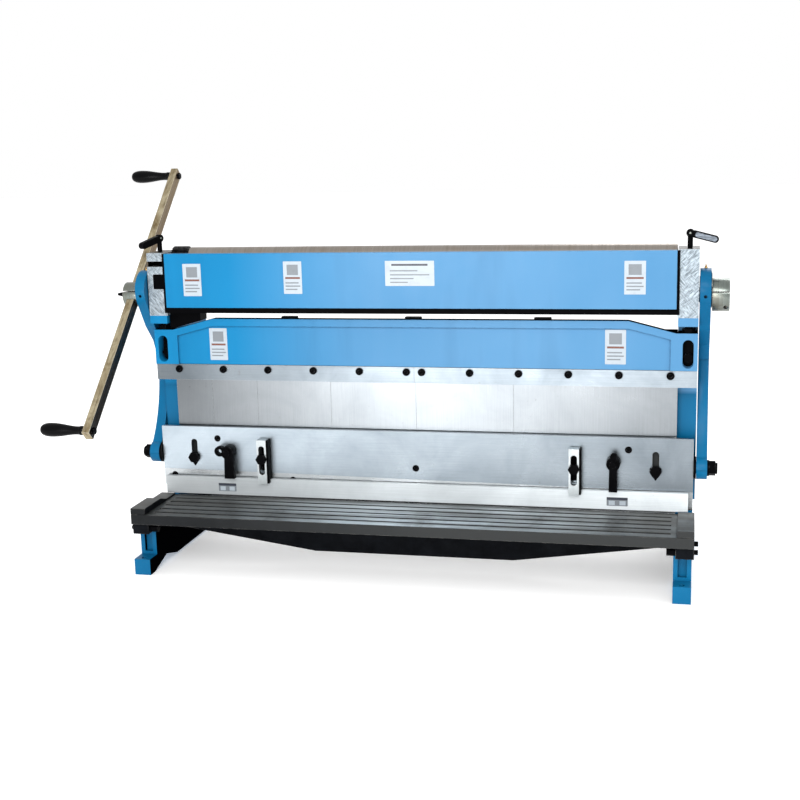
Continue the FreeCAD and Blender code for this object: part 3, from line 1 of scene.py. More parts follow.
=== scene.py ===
"""Looks for the combined sheet metal brake, shear and slip roll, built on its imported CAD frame.

Metres, in the row frame: +X along the machine, -Y to the operator, +Z up.
"""

import json
import math

import bmesh
import bpy
from mathutils import Matrix, Vector


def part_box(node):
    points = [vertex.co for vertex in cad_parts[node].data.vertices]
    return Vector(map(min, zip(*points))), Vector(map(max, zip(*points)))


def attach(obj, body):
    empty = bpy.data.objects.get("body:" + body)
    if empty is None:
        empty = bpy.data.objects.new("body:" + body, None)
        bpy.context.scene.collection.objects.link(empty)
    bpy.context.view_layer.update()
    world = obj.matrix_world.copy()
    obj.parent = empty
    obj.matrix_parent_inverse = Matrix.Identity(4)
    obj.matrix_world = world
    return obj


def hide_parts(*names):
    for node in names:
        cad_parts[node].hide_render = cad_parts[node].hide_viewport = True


MM = 0.001

# Camera, as a place and three angles in degrees
CAMERA_PLACE = Vector((0.6879, -3.1318, 1.0572))
CAMERA_YAW = 13.245
CAMERA_DIP = 11.196
CAMERA_ROLL = -1.466
CAMERA_FIELD = 35.44

# Roll levers: the posts' place, the height of the levers' eyes and the posts' lower end
LEVER_X = 0.684
LEVER_Y = -0.032
LEVER_TOP = 0.850
LEVER_POST_LOW = 0.7595

# The levers' turn from +X in degrees, and the top of the posts' thread
LEVER_TURN = {"right": 0.0, "left": 246.0}
THREAD_TOP = 0.816

# Heights between which the enamel is painted black as painted shade: inside the legs up to the first, on
# top of the beam
LEG_BLACK_TOP = 0.160
BEAM_BLACK_LOW = 0.600
BEAM_BLACK_HIGH = 0.643

# The front panels, painted a lighter blue as painted light: half their width and their lower limit, and
# where the painted reflection on them starts and where it is full
PANEL_HALF = 0.708
PANEL_LOW = 0.455
SHEEN_START_X = -0.48
SHEEN_FULL_X = -0.08

# The opening under the release cap, the window in the left housing, and the plate's front holes
CAP_GAP = ((-0.7065, 0.7784), (-0.6575, 0.7916))
WINDOW = ((-0.6915, 0.7195), (-0.6615, 0.7575))
SLOT_SPAN = (0.232, 0.308)
DRILL_PLACE = (0.544, 0.315)
CENTRE_HOLE_Z = 0.250

# Edge rounding of the CAD solids, in millimetres
BEVEL = {
    "left_side_frame": 3.0, "right_side_frame": 3.0, "upper_beam": 2.2, "table_bed": 1.6,
    "side_guides": 1.4, "moving_beam": 2.5, "left_connecting_rod": 1.8, "right_connecting_rod": 1.8,
    "left_roll_housing": 0.8, "right_roll_housing": 0.8, "release_cap": 0.8, "roll_guard": 0.7,
    "guard_rail": 0.5, "gear_cover": 0.5, "crank_bar": 1.6, "left_hub": 1.2, "right_hub": 1.2,
    "crankshaft": 0.8, "hold_down_brackets": 0.7, "left_cam_lever": 2.4, "right_cam_lever": 2.4,
    "crank_gear": 0.25, "upper_roll_gear": 0.25, "lower_roll_gear": 0.25, "upper_roll": 1.0,
    "lower_roll": 1.0, "rear_roll": 1.0, "rear_tie_bars": 1.0, "hub_screw": 1.0,
    "beam_top_plugs": 1.2, "rod_pins": 0.8, "rod_nuts": 1.0, "table_bolts": 0.9,
    "beam_end_bolts": 1.0, "beam_jack_screws": 0.9, "clamp_screws": 0.8, "slot_nuts": 1.1,
    "bracket_guide_bolts": 1.1, "cam_bolts": 0.8, "grip_spindles": 0.7, "v_die": 0.3,
    "upper_blade": 0.2, "lower_blade": 0.2, "blade_screws": 0.4,
}
BEVEL_OTHER = 0.35

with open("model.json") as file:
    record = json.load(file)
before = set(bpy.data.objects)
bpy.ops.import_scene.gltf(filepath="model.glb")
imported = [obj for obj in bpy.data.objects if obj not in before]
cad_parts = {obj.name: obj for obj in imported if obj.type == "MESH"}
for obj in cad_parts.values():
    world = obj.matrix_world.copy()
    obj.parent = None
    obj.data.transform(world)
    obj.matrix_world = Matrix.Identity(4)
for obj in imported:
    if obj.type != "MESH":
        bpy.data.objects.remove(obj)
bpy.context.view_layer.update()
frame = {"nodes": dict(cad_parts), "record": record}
nodes = frame["nodes"]


class Look:
    """One material and short ways to add nodes to it. Textures run in object space, in metres."""

    def __init__(self, name, **sockets):
        self.material = bpy.data.materials.new(name)
        self.material.use_nodes = True
        self.tree = self.material.node_tree
        self.shader = self.tree.nodes["Principled BSDF"]
        source = self.tree.nodes.new("ShaderNodeTexCoord")
        self.place = source.outputs["Object"]
        self.normal = source.outputs["Normal"]
        for socket, value in sockets.items():
            self.give(socket.replace("_", " "), value)

    def add(self, kind, inputs=(), **settings):
        node = self.tree.nodes.new(kind)
        for key, value in settings.items():
            setattr(node, key, value)
        for socket, value in dict(inputs).items():
            self.put(node.inputs[socket], value)
        return node

    def put(self, socket, value):
        if isinstance(value, bpy.types.NodeSocket):
            self.tree.links.new(value, socket)
        elif isinstance(value, tuple) and len(value) == 3 and socket.type == "RGBA":
            socket.default_value = (*value, 1.0)
        else:
            socket.default_value = value

    def give(self, socket, value):
        self.put(self.shader.inputs[socket], value)

    def stretch(self, scale, turn=(0, 0, 0)):
        """Object coordinates, turned by degrees and then scaled along each axis."""
        turned = self.add("ShaderNodeMapping", {
            "Vector": self.place, "Rotation": tuple(math.radians(angle) for angle in turn)})
        scaled = self.add("ShaderNodeMapping", {"Vector": turned.outputs[0], "Scale": scale})
        return scaled.outputs[0]

    def noise(self, scale, detail=4.0, roughness=0.5, distortion=0.0, stretch=None, turn=(0, 0, 0)):
        vector = self.stretch(stretch, turn) if stretch else self.place
        return self.add("ShaderNodeTexNoise", {
            "Vector": vector, "Scale": scale, "Detail": detail, "Roughness": roughness,
            "Distortion": distortion}).outputs[0]

    def ramp(self, value, low, high, out_low=0.0, out_high=1.0):
        return self.add("ShaderNodeMapRange", {
            "Value": value, "From Min": low, "From Max": high, "To Min": out_low,
            "To Max": out_high}).outputs[0]

    def calc(self, operation, first, second=0.0):
        node = self.add("ShaderNodeMath", operation=operation)
        self.put(node.inputs[0], first)
        self.put(node.inputs[1], second)
        return node.outputs[0]

    def times(self, first, second):
        return self.calc("MULTIPLY", first, second)

    def mix(self, factor, first, second, mode="MIX"):
        node = self.add("ShaderNodeMix", data_type="RGBA", blend_type=mode)
        self.put(node.inputs[0], factor)
        self.put(node.inputs[6], first)
        self.put(node.inputs[7], second)
        return node.outputs[2]

    def up(self, low=0.7, high=0.95):
        """1 on faces that look up, 0 on the others."""
        parts = self.add("ShaderNodeSeparateXYZ", {"Vector": self.normal})
        return self.ramp(parts.outputs["Z"], low, high)

    def split(self, vector):
        """The three numbers of a vector."""
        return self.add("ShaderNodeSeparateXYZ", {"Vector": vector}).outputs

    def between(self, value, low, high, soft):
        """1 where a value lies between two limits."""
        above = self.ramp(value, low - soft, low + soft)
        return self.times(above, self.ramp(value, high + soft, high - soft))

    def occlusion_shade(self, reach):
        """1 in inside corners and under overhangs, where shade falls; the looks use it for painted shade.
        """
        shade = self.add("ShaderNodeAmbientOcclusion", {"Distance": reach}, samples=6)
        return self.ramp(shade.outputs["AO"], 0.75, 0.30)

    def edges(self, radius):
        """1 near outside corners of the surface."""
        rounded = self.add("ShaderNodeBevel", {"Radius": radius}, samples=4)
        true = self.add("ShaderNodeNewGeometry").outputs["Normal"]
        same = self.add("ShaderNodeVectorMath", operation="DOT_PRODUCT")
        self.put(same.inputs[0], rounded.outputs[0])
        self.put(same.inputs[1], true)
        return self.ramp(same.outputs["Value"], 0.995, 0.93)

    def bump(self, height, strength, distance):
        node = self.add("ShaderNodeBump", {
            "Height": height, "Strength": strength, "Distance": distance})
        self.give("Normal", node.outputs[0])
        return node


def make_enamel():
    """Machine enamel with streaks and chipped corners.

    The front panels are painted a paler blue as painted light, paler still away from the left end as a
    painted reflection. The inside of the legs and the top of the beam are painted black and dull as painted
    shade, and inside corners get painted shade too.
    """
    look = Look("blue_enamel", Coat_Roughness=0.25, Coat_IOR=1.4)
    place = look.split(look.place)
    drift = look.ramp(look.noise(2.2, detail=3.0), 0.3, 0.7)
    streak = look.noise(1.0, detail=5.0, stretch=(9.0, 9.0, 1.2))
    deep = look.mix(drift, (0.001, 0.088, 0.200), (0.003, 0.130, 0.280))
    # The panel blues are painted light; the paler one is a painted reflection.
    panel_blue = look.mix(drift, (0.002, 0.150, 0.330), (0.005, 0.180, 0.385))
    panel_sheen_blue = look.mix(drift, (0.080, 0.225, 0.405), (0.108, 0.262, 0.450))
    # Painted reflection on the panels: none at the left end, full towards the middle, broken by the
    # streaks.
    film = look.times(look.ramp(place["X"], SHEEN_START_X, SHEEN_FULL_X),
                      look.ramp(streak, 0.2, 0.7, 0.75, 1.0))
    front = look.times(look.ramp(place["Y"], 1 * MM, 0.0),
                       look.ramp(place["Z"], PANEL_LOW - 5 * MM, PANEL_LOW + 5 * MM))
    panel = look.times(look.between(place["X"], -PANEL_HALF, PANEL_HALF, 0.5 * MM), front)
    colour = look.mix(panel, deep, look.mix(film, panel_blue, panel_sheen_blue))
    colour = look.mix(look.ramp(streak, 0.52, 0.82, 0.0, 0.40), colour, (0.003, 0.080, 0.185))
    speck = look.ramp(look.noise(520.0, detail=2.0), 0.70, 0.76, 0.0, 0.30)
    colour = look.mix(speck, colour, (0.05, 0.28, 0.48))
    # Painted shade in inside corners, broken by the streaks and weaker low on the legs.
    crevice_shade = look.times(look.occlusion_shade(14 * MM), look.ramp(streak, 0.25, 0.6, 0.55, 0.95))
    crevice_shade = look.times(crevice_shade, look.ramp(place["Z"], 0.11, 0.15, 0.2, 1.0))
    colour = look.mix(crevice_shade, colour, (0.002, 0.018, 0.045))
    wear = look.times(look.edges(1.6 * MM), look.ramp(look.noise(70.0, 6.0, 0.65), 0.50, 0.62))
    colour = look.mix(look.times(wear, 0.8), colour, (0.020, 0.030, 0.045))
    # Painted shade: inward faces of the legs below the table and the top of the beam go near black, with
    # little gloss.
    facing = look.split(look.normal)
    inward = look.ramp(look.times(place["X"], facing["X"]), -0.40, -0.55)
    below = look.ramp(place["Z"], LEG_BLACK_TOP + 8 * MM, LEG_BLACK_TOP - 8 * MM)
    leg = look.times(inward, below)
    crown = look.between(place["Z"], BEAM_BLACK_LOW, BEAM_BLACK_HIGH, 1 * MM)
    top = look.times(look.up(), crown)
    black = look.calc("MAXIMUM", leg, top)
    colour = look.mix(black, colour, (0.0008, 0.0009, 0.0012))
    look.give("Specular IOR Level", look.ramp(black, 0.0, 1.0, 0.08, 0.0))
    look.give("Coat Weight", look.ramp(black, 0.0, 1.0, 0.08, 0.0))
    look.give("Base Color", colour)
    rough = look.ramp(look.noise(26.0, 6.0), 0.3, 0.75, 0.30, 0.46)
    look.give("Roughness", look.calc("ADD", rough, look.times(wear, 0.3)))
    skin = look.times(look.noise(330.0, 2.0), 0.6)
    body = look.calc("ADD", skin, look.noise(38.0, 4.0))
    look.bump(look.calc("SUBTRACT", body, look.times(wear, 0.7)), 0.16, 0.6 * MM)
    return look.material


def make_ground_steel(name, grain, light, dark, low=0.24, high=0.40, metal=1.0,
                      shade=(1.0, 1.0, 1.0)):
    """Surface-ground plate: fine grinding lines, oil stains, and a painted reflection that varies along X.

    The shade holds the painted reflection's brightness at the left, in the middle and at the right.
    """
    look = Look(name, Metallic=metal, Anisotropic=0.35)
    lines = look.noise(1.0, detail=6.0, roughness=0.7, stretch=grain)
    coarse = look.noise(1.0, detail=2.0, stretch=tuple(0.22 * size for size in grain))
    cloud = look.noise(5.5, detail=6.0, roughness=0.62, distortion=0.6)
    spots = look.ramp(look.noise(60.0, detail=5.0, roughness=0.7), 0.64, 0.78, 0.0, 0.45)
    tone = look.mix(look.ramp(cloud, 0.32, 0.72), light, dark)
    tone = look.mix(look.ramp(lines, 0.35, 0.72, 0.0, 0.35), tone, tuple(0.62 * part for part in dark))
    tone = look.mix(spots, tone, (0.20, 0.18, 0.16))
    # Painted reflection: brightness scaled along X by the shade numbers.
    along = look.split(look.place)["X"]
    level = look.times(look.ramp(along, -0.62, -0.05, shade[0], shade[1]),
                      look.ramp(along, 0.05, 0.62, 1.0, shade[2] / shade[1]))
    tone = look.mix(1.0, tone, level, "MULTIPLY")
    # Painted shade in inside corners.
    crevice_shade = look.times(look.occlusion_shade(7 * MM), 0.85)
    tone = look.mix(crevice_shade, tone, (0.030, 0.028, 0.026))
    corner = look.edges(0.8 * MM)
    look.give("Base Color", look.mix(look.times(corner, 0.35), tone, (0.86, 0.87, 0.88)))
    rough = look.calc("ADD", look.ramp(cloud, 0.3, 0.7, low, high), look.ramp(lines, 0.3, 0.7, -0.05, 0.07))
    look.give("Roughness", look.calc("ADD", rough, look.times(spots, 0.3)))
    height = look.calc("ADD", lines, look.times(coarse, 0.8))
    look.bump(height, 0.12, 0.12 * MM)
    return look.material


def make_planed_casting():
    """Cast iron that is planed on top in long passes and left rough and black on its sides."""
    look = Look("planed_casting", Specular_IOR_Level=0.04)
    top = look.up()
    place = look.split(look.place)
    passes = look.noise(1.0, detail=5.0, roughness=0.72, stretch=(3.0, 150.0, 150.0))
    broad = look.noise(1.0, detail=4.0, roughness=0.6, stretch=(2.2, 24.0, 24.0))
    stain = look.noise(5.0, detail=6.0, roughness=0.66, distortion=0.8)
    machined = look.mix(look.ramp(passes, 0.38, 0.66), (0.016, 0.015, 0.012), (0.085, 0.082, 0.072))
    # Bright streaks on the top, strongest in the middle: partly rubbed steel and partly painted reflection.
    rubbed = look.times(look.ramp(place["X"], -0.50, -0.05, 0.12, 1.0),
                       look.ramp(place["X"], 0.10, 0.60, 1.0, 0.18))
    rubbed = look.times(rubbed, look.ramp(broad, 0.34, 0.62, 0.25, 1.0))
    machined = look.mix(rubbed, machined, (0.62, 0.68, 0.71))
    machined = look.mix(look.ramp(stain, 0.50, 0.72, 0.0, 0.6), machined, (0.022, 0.019, 0.014))
    # Painted shade in the inside corners of the top.
    machined = look.mix(look.times(look.occlusion_shade(9 * MM), 0.9), machined, (0.006, 0.006, 0.005))
    sooty = look.ramp(look.noise(18.0, 6.0, 0.7), 0.35, 0.7)
    skin = look.mix(sooty, (0.0010, 0.0014, 0.0022), (0.0050, 0.0060, 0.0080))
    # Front faces of the top are a lighter grey, with a painted light gradient that darkens them towards the
    # left.
    face = look.ramp(look.times(look.split(look.normal)["Y"], -1.0), 0.7, 0.95)
    face = look.times(face, look.ramp(place["Z"], 0.130, 0.132))
    face = look.times(face, look.ramp(place["X"], -0.5, 0.1, 0.25, 0.75))
    skin = look.mix(face, skin, (0.045, 0.047, 0.047))
    wear = look.times(look.edges(2.0 * MM), look.ramp(look.noise(46.0, 5.0, 0.7), 0.42, 0.60))
    skin = look.mix(look.times(wear, 0.7), skin, (0.20, 0.195, 0.18))
    look.give("Base Color", look.mix(top, skin, machined))
    bare = look.calc("ADD", top, look.times(wear, 0.6))
    look.give("Metallic", look.ramp(bare, 0.0, 1.0, 0.0, 0.75))
    sides = look.ramp(look.noise(30.0, 4.0), 0.3, 0.7, 0.50, 0.70)
    tops = look.ramp(passes, 0.3, 0.7, 0.34, 0.52)
    look.give("Roughness", look.add("ShaderNodeMix", {0: top, 2: sides, 3: tops}).outputs[0])
    sand = look.times(look.noise(420.0, 3.0), look.calc("SUBTRACT", 1.0, top))
    ripple = look.times(look.noise(52.0, 4.0), look.calc("SUBTRACT", 1.0, top))
    cuts = look.times(passes, look.times(top, 0.5))
    look.bump(look.calc("ADD", cuts, look.calc("ADD", sand, ripple)), 0.35, 0.45 * MM)
    return look.material


def make_scraped_casting():
    """Silver roll housings, finished with crossing diagonal strokes."""
    look = Look("scraped_casting", Metallic=0.55)
    first = look.noise(1.0, detail=3.0, roughness=0.6, stretch=(60.0, 60.0, 420.0), turn=(38, 38, 0))
    second = look.noise(1.0, detail=3.0, roughness=0.6, stretch=(60.0, 60.0, 420.0), turn=(-42, -42, 0))
    patch = look.ramp(look.noise(22.0, 3.0), 0.42, 0.58)
    strokes = look.add("ShaderNodeMix", {0: patch, 2: first, 3: second}).outputs[0]
    cloud = look.noise(9.0, 5.0, 0.6)
    tone = look.mix(look.ramp(strokes, 0.38, 0.62), (0.115, 0.140, 0.160), (0.36, 0.42, 0.465))
    tone = look.mix(look.ramp(cloud, 0.55, 0.8, 0.0, 0.4), tone, (0.20, 0.205, 0.21))
    corner = look.times(look.edges(1.2 * MM), 0.6)
    tone = look.mix(corner, tone, (0.60, 0.62, 0.64))
    pits = look.ramp(look.noise(75.0, 6.0, 0.75), 0.60, 0.68, 0.0, 0.75)
    tone = look.mix(pits, tone, (0.10, 0.10, 0.11))
    tone = look.mix(look.times(look.up(), 0.92), tone, (0.040, 0.037, 0.034))
    look.give("Base Color", tone)
    look.give("Roughness", look.ramp(strokes, 0.3, 0.7, 0.46, 0.30))
    look.bump(strokes, 0.30, 0.35 * MM)
    return look.material


def make_turned_steel(name, light, dark, low, high, rings):
    """Turned bar: fine rings round the X axis, oil film and slight brown staining."""
    look = Look(name, Metallic=1.0)
    ring = look.noise(1.0, detail=4.0, roughness=0.7, stretch=(rings, 3.0, 3.0))
    stain = look.noise(8.0, detail=6.0, roughness=0.65, distortion=0.5)
    tone = look.mix(look.ramp(ring, 0.25, 0.75, 0.1, 0.8), light, dark)
    tone = look.mix(look.ramp(stain, 0.50, 0.78, 0.0, 0.6), tone, (0.20, 0.145, 0.085))
    # Painted shade in inside corners.
    tone = look.mix(look.times(look.occlusion_shade(10 * MM), 0.9), tone, (0.020, 0.016, 0.010))
    corner = look.times(look.edges(0.9 * MM), 0.6)
    look.give("Base Color", look.mix(corner, tone, (0.84, 0.83, 0.80)))
    rough = look.ramp(ring, 0.3, 0.7, low, high)
    look.give("Roughness", look.calc("ADD", rough, look.ramp(stain, 0.5, 0.8, 0.0, 0.16)))
    look.bump(ring, 0.14, 0.10 * MM)
    return look.material


def make_rolled_bar():
    """Hot-rolled bar: golden grey scale, worn bright along its corners, darker patches and nicks."""
    look = Look("rolled_bar")
    scale = look.noise(11.0, detail=7.0, roughness=0.68, distortion=0.9)
    streak = look.noise(1.0, detail=4.0, roughness=0.6, stretch=(160.0, 22.0, 22.0))
    tone = look.mix(look.ramp(scale, 0.36, 0.62), (0.20, 0.145, 0.070), (0.46, 0.40, 0.27))
    tone = look.mix(look.ramp(streak, 0.48, 0.74, 0.0, 0.75), tone, (0.075, 0.050, 0.022))
    flank = look.ramp(look.split(look.normal)["X"], 0.55, 0.9, 0.0, 0.80)
    tone = look.mix(flank, tone, (0.110, 0.066, 0.028))
    # Painted shade: the faces turned to +X go near black below 0.70 m, where the bar's lower half lies in
    # shade.
    lower_flank_shade = look.times(flank, look.ramp(look.split(look.place)["Z"], 0.70, 0.66))
    tone = look.mix(lower_flank_shade, tone, (0.008, 0.006, 0.006))
    rust = look.ramp(look.noise(85.0, 5.0, 0.7), 0.60, 0.74, 0.0, 0.75)
    tone = look.mix(rust, tone, (0.22, 0.11, 0.045))
    worn = look.times(look.edges(1.8 * MM), look.ramp(streak, 0.3, 0.6, 0.3, 1.0))
    look.give("Base Color", look.mix(look.times(worn, 0.85), tone, (0.74, 0.72, 0.62)))
    look.give("Metallic", look.calc("SUBTRACT", 0.9, look.times(rust, 0.7)))
    look.give("Roughness", look.ramp(scale, 0.3, 0.7, 0.34, 0.52))
    look.bump(look.calc("ADD", scale, look.times(streak, 0.4)), 0.25, 0.35 * MM)
    return look.material


def make_black_steel():
    """Blacked steel with an oily film, bright where corners have rubbed."""
    look = Look("black_oxide", Specular_IOR_Level=0.02)
    cloud = look.noise(40.0, detail=5.0, roughness=0.6)
    tone = look.mix(look.ramp(cloud, 0.35, 0.7), (0.0006, 0.0006, 0.0009), (0.0024, 0.0024, 0.0030))
    rubbed = look.times(look.edges(0.9 * MM), look.ramp(look.noise(160.0, 4.0), 0.48, 0.64))
    look.give("Base Color", look.mix(look.times(rubbed, 0.35), tone, (0.26, 0.26, 0.28)))
    look.give("Roughness", look.ramp(cloud, 0.3, 0.7, 0.30, 0.46))
    look.bump(look.noise(620.0, 3.0), 0.10, 0.15 * MM)
    return look.material


def make_dull_steel():
    """Grey filed steel with lines along it and dirt between them."""
    look = Look("filed_steel", Metallic=0.8)
    lines = look.noise(1.0, detail=4.0, roughness=0.7, stretch=(60.0, 60.0, 700.0))
    tone = look.mix(look.ramp(lines, 0.35, 0.65), (0.035, 0.042, 0.052), (0.22, 0.25, 0.29))
    look.give("Base Color", tone)
    look.give("Roughness", look.ramp(look.noise(80.0, 4.0), 0.3, 0.7, 0.34, 0.50))
    look.bump(lines, 0.25, 0.25 * MM)
    return look.material


def make_black_enamel():
    """Satin black enamel with dust."""
    look = Look("black_enamel", Specular_IOR_Level=0.02)
    dust = look.ramp(look.noise(24.0, 6.0, 0.7), 0.50, 0.80, 0.0, 0.5)
    dusty = look.times(dust, look.up(0.2, 0.9))
    look.give("Base Color", look.mix(dusty, (0.0006, 0.0006, 0.0010), (0.0075, 0.0072, 0.0068)))
    look.give("Roughness", look.ramp(look.noise(35.0, 4.0), 0.3, 0.7, 0.40, 0.56))
    look.bump(look.noise(300.0, 2.0), 0.12, 0.25 * MM)
    return look.material


def make_moulded_plastic():
    """Gloss black handle plastic with faint swirl and rubbing marks."""
    look = Look("moulded_plastic", Specular_IOR_Level=0.06, Coat_Weight=0.05, Coat_Roughness=0.10)
    rub = look.noise(1.0, detail=5.0, roughness=0.7, stretch=(40.0, 260.0, 260.0))
    haze = look.noise(30.0, detail=4.0)
    dulled = look.ramp(haze, 0.4, 0.8, 0.0, 0.6)
    look.give("Base Color", look.mix(dulled, (0.0008, 0.0008, 0.0011), (0.0030, 0.0030, 0.0035)))
    rough = look.ramp(haze, 0.3, 0.7, 0.20, 0.32)
    look.give("Roughness", look.calc("ADD", rough, look.ramp(rub, 0.6, 0.75, 0.0, 0.14)))
    look.bump(rub, 0.05, 0.10 * MM)
    return look.material


def make_bronze():
    look = Look("bronze", Metallic=1.0)
    film = look.noise(60.0, detail=5.0, roughness=0.6)
    look.give("Base Color", look.mix(look.ramp(film, 0.35, 0.7), (0.52, 0.33, 0.13), (0.30, 0.17, 0.07)))
    look.give("Roughness", look.ramp(film, 0.3, 0.7, 0.26, 0.44))
    look.bump(look.noise(1.0, 3.0, stretch=(500.0, 20.0, 20.0)), 0.10, 0.10 * MM)
    return look.material


def make_gear_iron():
    """Cast gear with dark grease lying in its teeth."""
    look = Look("gear_iron", Metallic=0.75)
    grease = look.ramp(look.noise(90.0, 5.0, 0.6), 0.40, 0.62)
    look.give("Base Color", look.mix(grease, (0.030, 0.030, 0.032), (0.010, 0.009, 0.008)))
    look.give("Roughness", look.calc("SUBTRACT", 0.46, look.times(grease, 0.24)))
    look.bump(look.noise(240.0, 4.0), 0.25, 0.3 * MM)
    return look.material


def make_vinyl(name, base):
    """Plain printed vinyl, a little dirty."""
    look = Look(name, Coat_Weight=0.2, Coat_Roughness=0.25)
    dirt = look.ramp(look.noise(55.0, 6.0, 0.7), 0.52, 0.78, 0.0, 0.35)
    look.give("Base Color", look.mix(dirt, base, tuple(0.6 * part for part in base)))
    look.give("Roughness", look.ramp(look.noise(40.0, 3.0), 0.3, 0.7, 0.34, 0.48))
    look.bump(look.noise(260.0, 2.0), 0.06, 0.1 * MM)
    return look.material


def make_floor_look():
    look = Look("studio_floor", Specular_IOR_Level=0.25, Emission_Color=(1.0, 1.0, 1.0),
                Emission_Strength=0.28)
    cloud = look.noise(1.4, detail=5.0)
    look.give("Base Color", look.mix(cloud, (0.955, 0.955, 0.955), (0.975, 0.975, 0.975)))
    look.give("Roughness", look.ramp(look.noise(9.0, 3.0), 0.3, 0.7, 0.62, 0.74))
    look.bump(look.noise(180.0, 3.0), 0.04, 0.3 * MM)
    return look.material


ACROSS = (6.0, 900.0, 900.0)
UPRIGHT = (900.0, 900.0, 7.0)
MATERIALS = {
    "blue_paint": make_enamel(),
    # The shade numbers paint reflection brightness along X; the bar is also painted paler and less
    # metallic, as painted reflection.
    "ground_steel": make_ground_steel("ground_plate", ACROSS, (0.42, 0.475, 0.52), (0.27, 0.315, 0.355),
                                      shade=(1.18, 0.83, 0.58)),
    "finger_steel": make_ground_steel("ground_fingers", UPRIGHT, (0.52, 0.555, 0.585), (0.42, 0.455, 0.485),
                                      0.26, 0.40, shade=(0.33, 0.84, 0.47)),
    "strip_steel": make_ground_steel("ground_strip", ACROSS, (0.42, 0.475, 0.52), (0.27, 0.315, 0.355),
                                     shade=(0.45, 0.80, 0.76)),
    "bar_steel": make_ground_steel("ground_bar", ACROSS, (0.66, 0.70, 0.72), (0.50, 0.54, 0.56),
                                   0.34, 0.48, metal=0.2, shade=(0.64, 0.85, 1.32)),
    "tool_steel": make_ground_steel("ground_blade", ACROSS, (0.60, 0.63, 0.65), (0.33, 0.35, 0.36),
                                    0.20, 0.34),
    "dark_casting": make_planed_casting(),
    "silver_casting": make_scraped_casting(),
    "roll_steel": make_turned_steel("turned_roll", (0.34, 0.31, 0.28), (0.21, 0.185, 0.16),
                                    0.26, 0.38, 160.0),
    "shaft_steel": make_turned_steel("turned_shaft", (0.26, 0.30, 0.285), (0.085, 0.094, 0.078),
                                     0.20, 0.34, 240.0),
    "crank_steel": make_rolled_bar(),
    "bracket_steel": make_ground_steel("milled_bracket", UPRIGHT, (0.56, 0.60, 0.61), (0.38, 0.41, 0.42)),
    "gear_iron": make_gear_iron(),
    "black_oxide": make_black_steel(),
    "black_paint": make_black_enamel(),
    "bronze": make_bronze(),
    "grip_plastic": make_moulded_plastic(),
}
# Pieces of ground steel that look unlike the rest, each with its own painted reflection along X
OWN_LOOK = {"clamp_strips": "strip_steel", "hold_down_bar": "bar_steel"}
FILED_STEEL = make_dull_steel()
LABEL_WHITE = make_vinyl("label_face", (0.36, 0.41, 0.455))
LABEL_BAND = make_vinyl("label_band", (0.13, 0.035, 0.020))
LABEL_GREY = make_vinyl("label_grey", (0.15, 0.17, 0.19))
LABEL_DARK = make_vinyl("label_dark", (0.010, 0.014, 0.028))


def round_edges(piece, width, segments=3, merge_flats=True):
    """Joins a mesh's faces and flats, then rounds its corners."""
    weld = piece.modifiers.new("join_faces", "WELD")
    weld.merge_threshold = 0.002 * MM
    if merge_flats:
        merge = piece.modifiers.new("merge_flats", "DECIMATE")
        merge.decimate_type = "DISSOLVE"
        merge.angle_limit = math.radians(0.4)
    bevel = piece.modifiers.new("round_corners", "BEVEL")
    bevel.width = width
    bevel.segments = segments
    bevel.limit_method = "ANGLE"
    bevel.angle_limit = math.radians(38)
    bevel.harden_normals = True
    bevel.use_clamp_overlap = True


def dress_frame():
    """Gives every CAD node its material and rounded corners.

    The moving beam keeps its small flats, because its bays would close over if they were joined.
    """
    slots = {part["node"]: part["material_slot"] for part in frame["record"]["subparts"]}
    for name, piece in nodes.items():
        slot = slots[name]
        own = "finger_steel" if name.startswith("finger") else OWN_LOOK.get(name, slot)
        look = MATERIALS[own]
        for place in piece.material_slots:
            place.material = look
        round_edges(piece, BEVEL.get(name, BEVEL_OTHER) * MM, merge_flats=name != "moving_beam")


def make_camera():
    yaw, dip, roll = (math.radians(angle) for angle in (CAMERA_YAW, CAMERA_DIP, CAMERA_ROLL))
    ahead = Vector((-math.sin(yaw) * math.cos(dip), math.cos(yaw) * math.cos(dip), -math.sin(dip)))
    right = ahead.cross(Vector((0, 0, 1))).normalized()
    above = right.cross(ahead)
    side = right * math.cos(roll) + above * math.sin(roll)
    top = above * math.cos(roll) - right * math.sin(roll)
    data = bpy.data.cameras.new("camera")
    data.sensor_width = 36.0
    data.angle = math.radians(CAMERA_FIELD)
    data.clip_end = 100.0
    camera = bpy.data.objects.new("camera", data)
    bpy.context.collection.objects.link(camera)
    turned = Matrix((side, top, -ahead)).transposed().to_4x4()
    camera.matrix_world = Matrix.Translation(CAMERA_PLACE) @ turned
    bpy.context.scene.camera = camera


def make_light(name, place, target, size, power):
    data = bpy.data.lights.new(name, "AREA")
    data.shape = "RECTANGLE"
    data.size, data.size_y = size
    data.energy = power
    light = bpy.data.objects.new(name, data)
    light.location = place
    light.rotation_mode = "QUATERNION"
    light.rotation_quaternion = (Vector(target) - Vector(place)).to_track_quat("-Z", "Y")
    bpy.context.collection.objects.link(light)


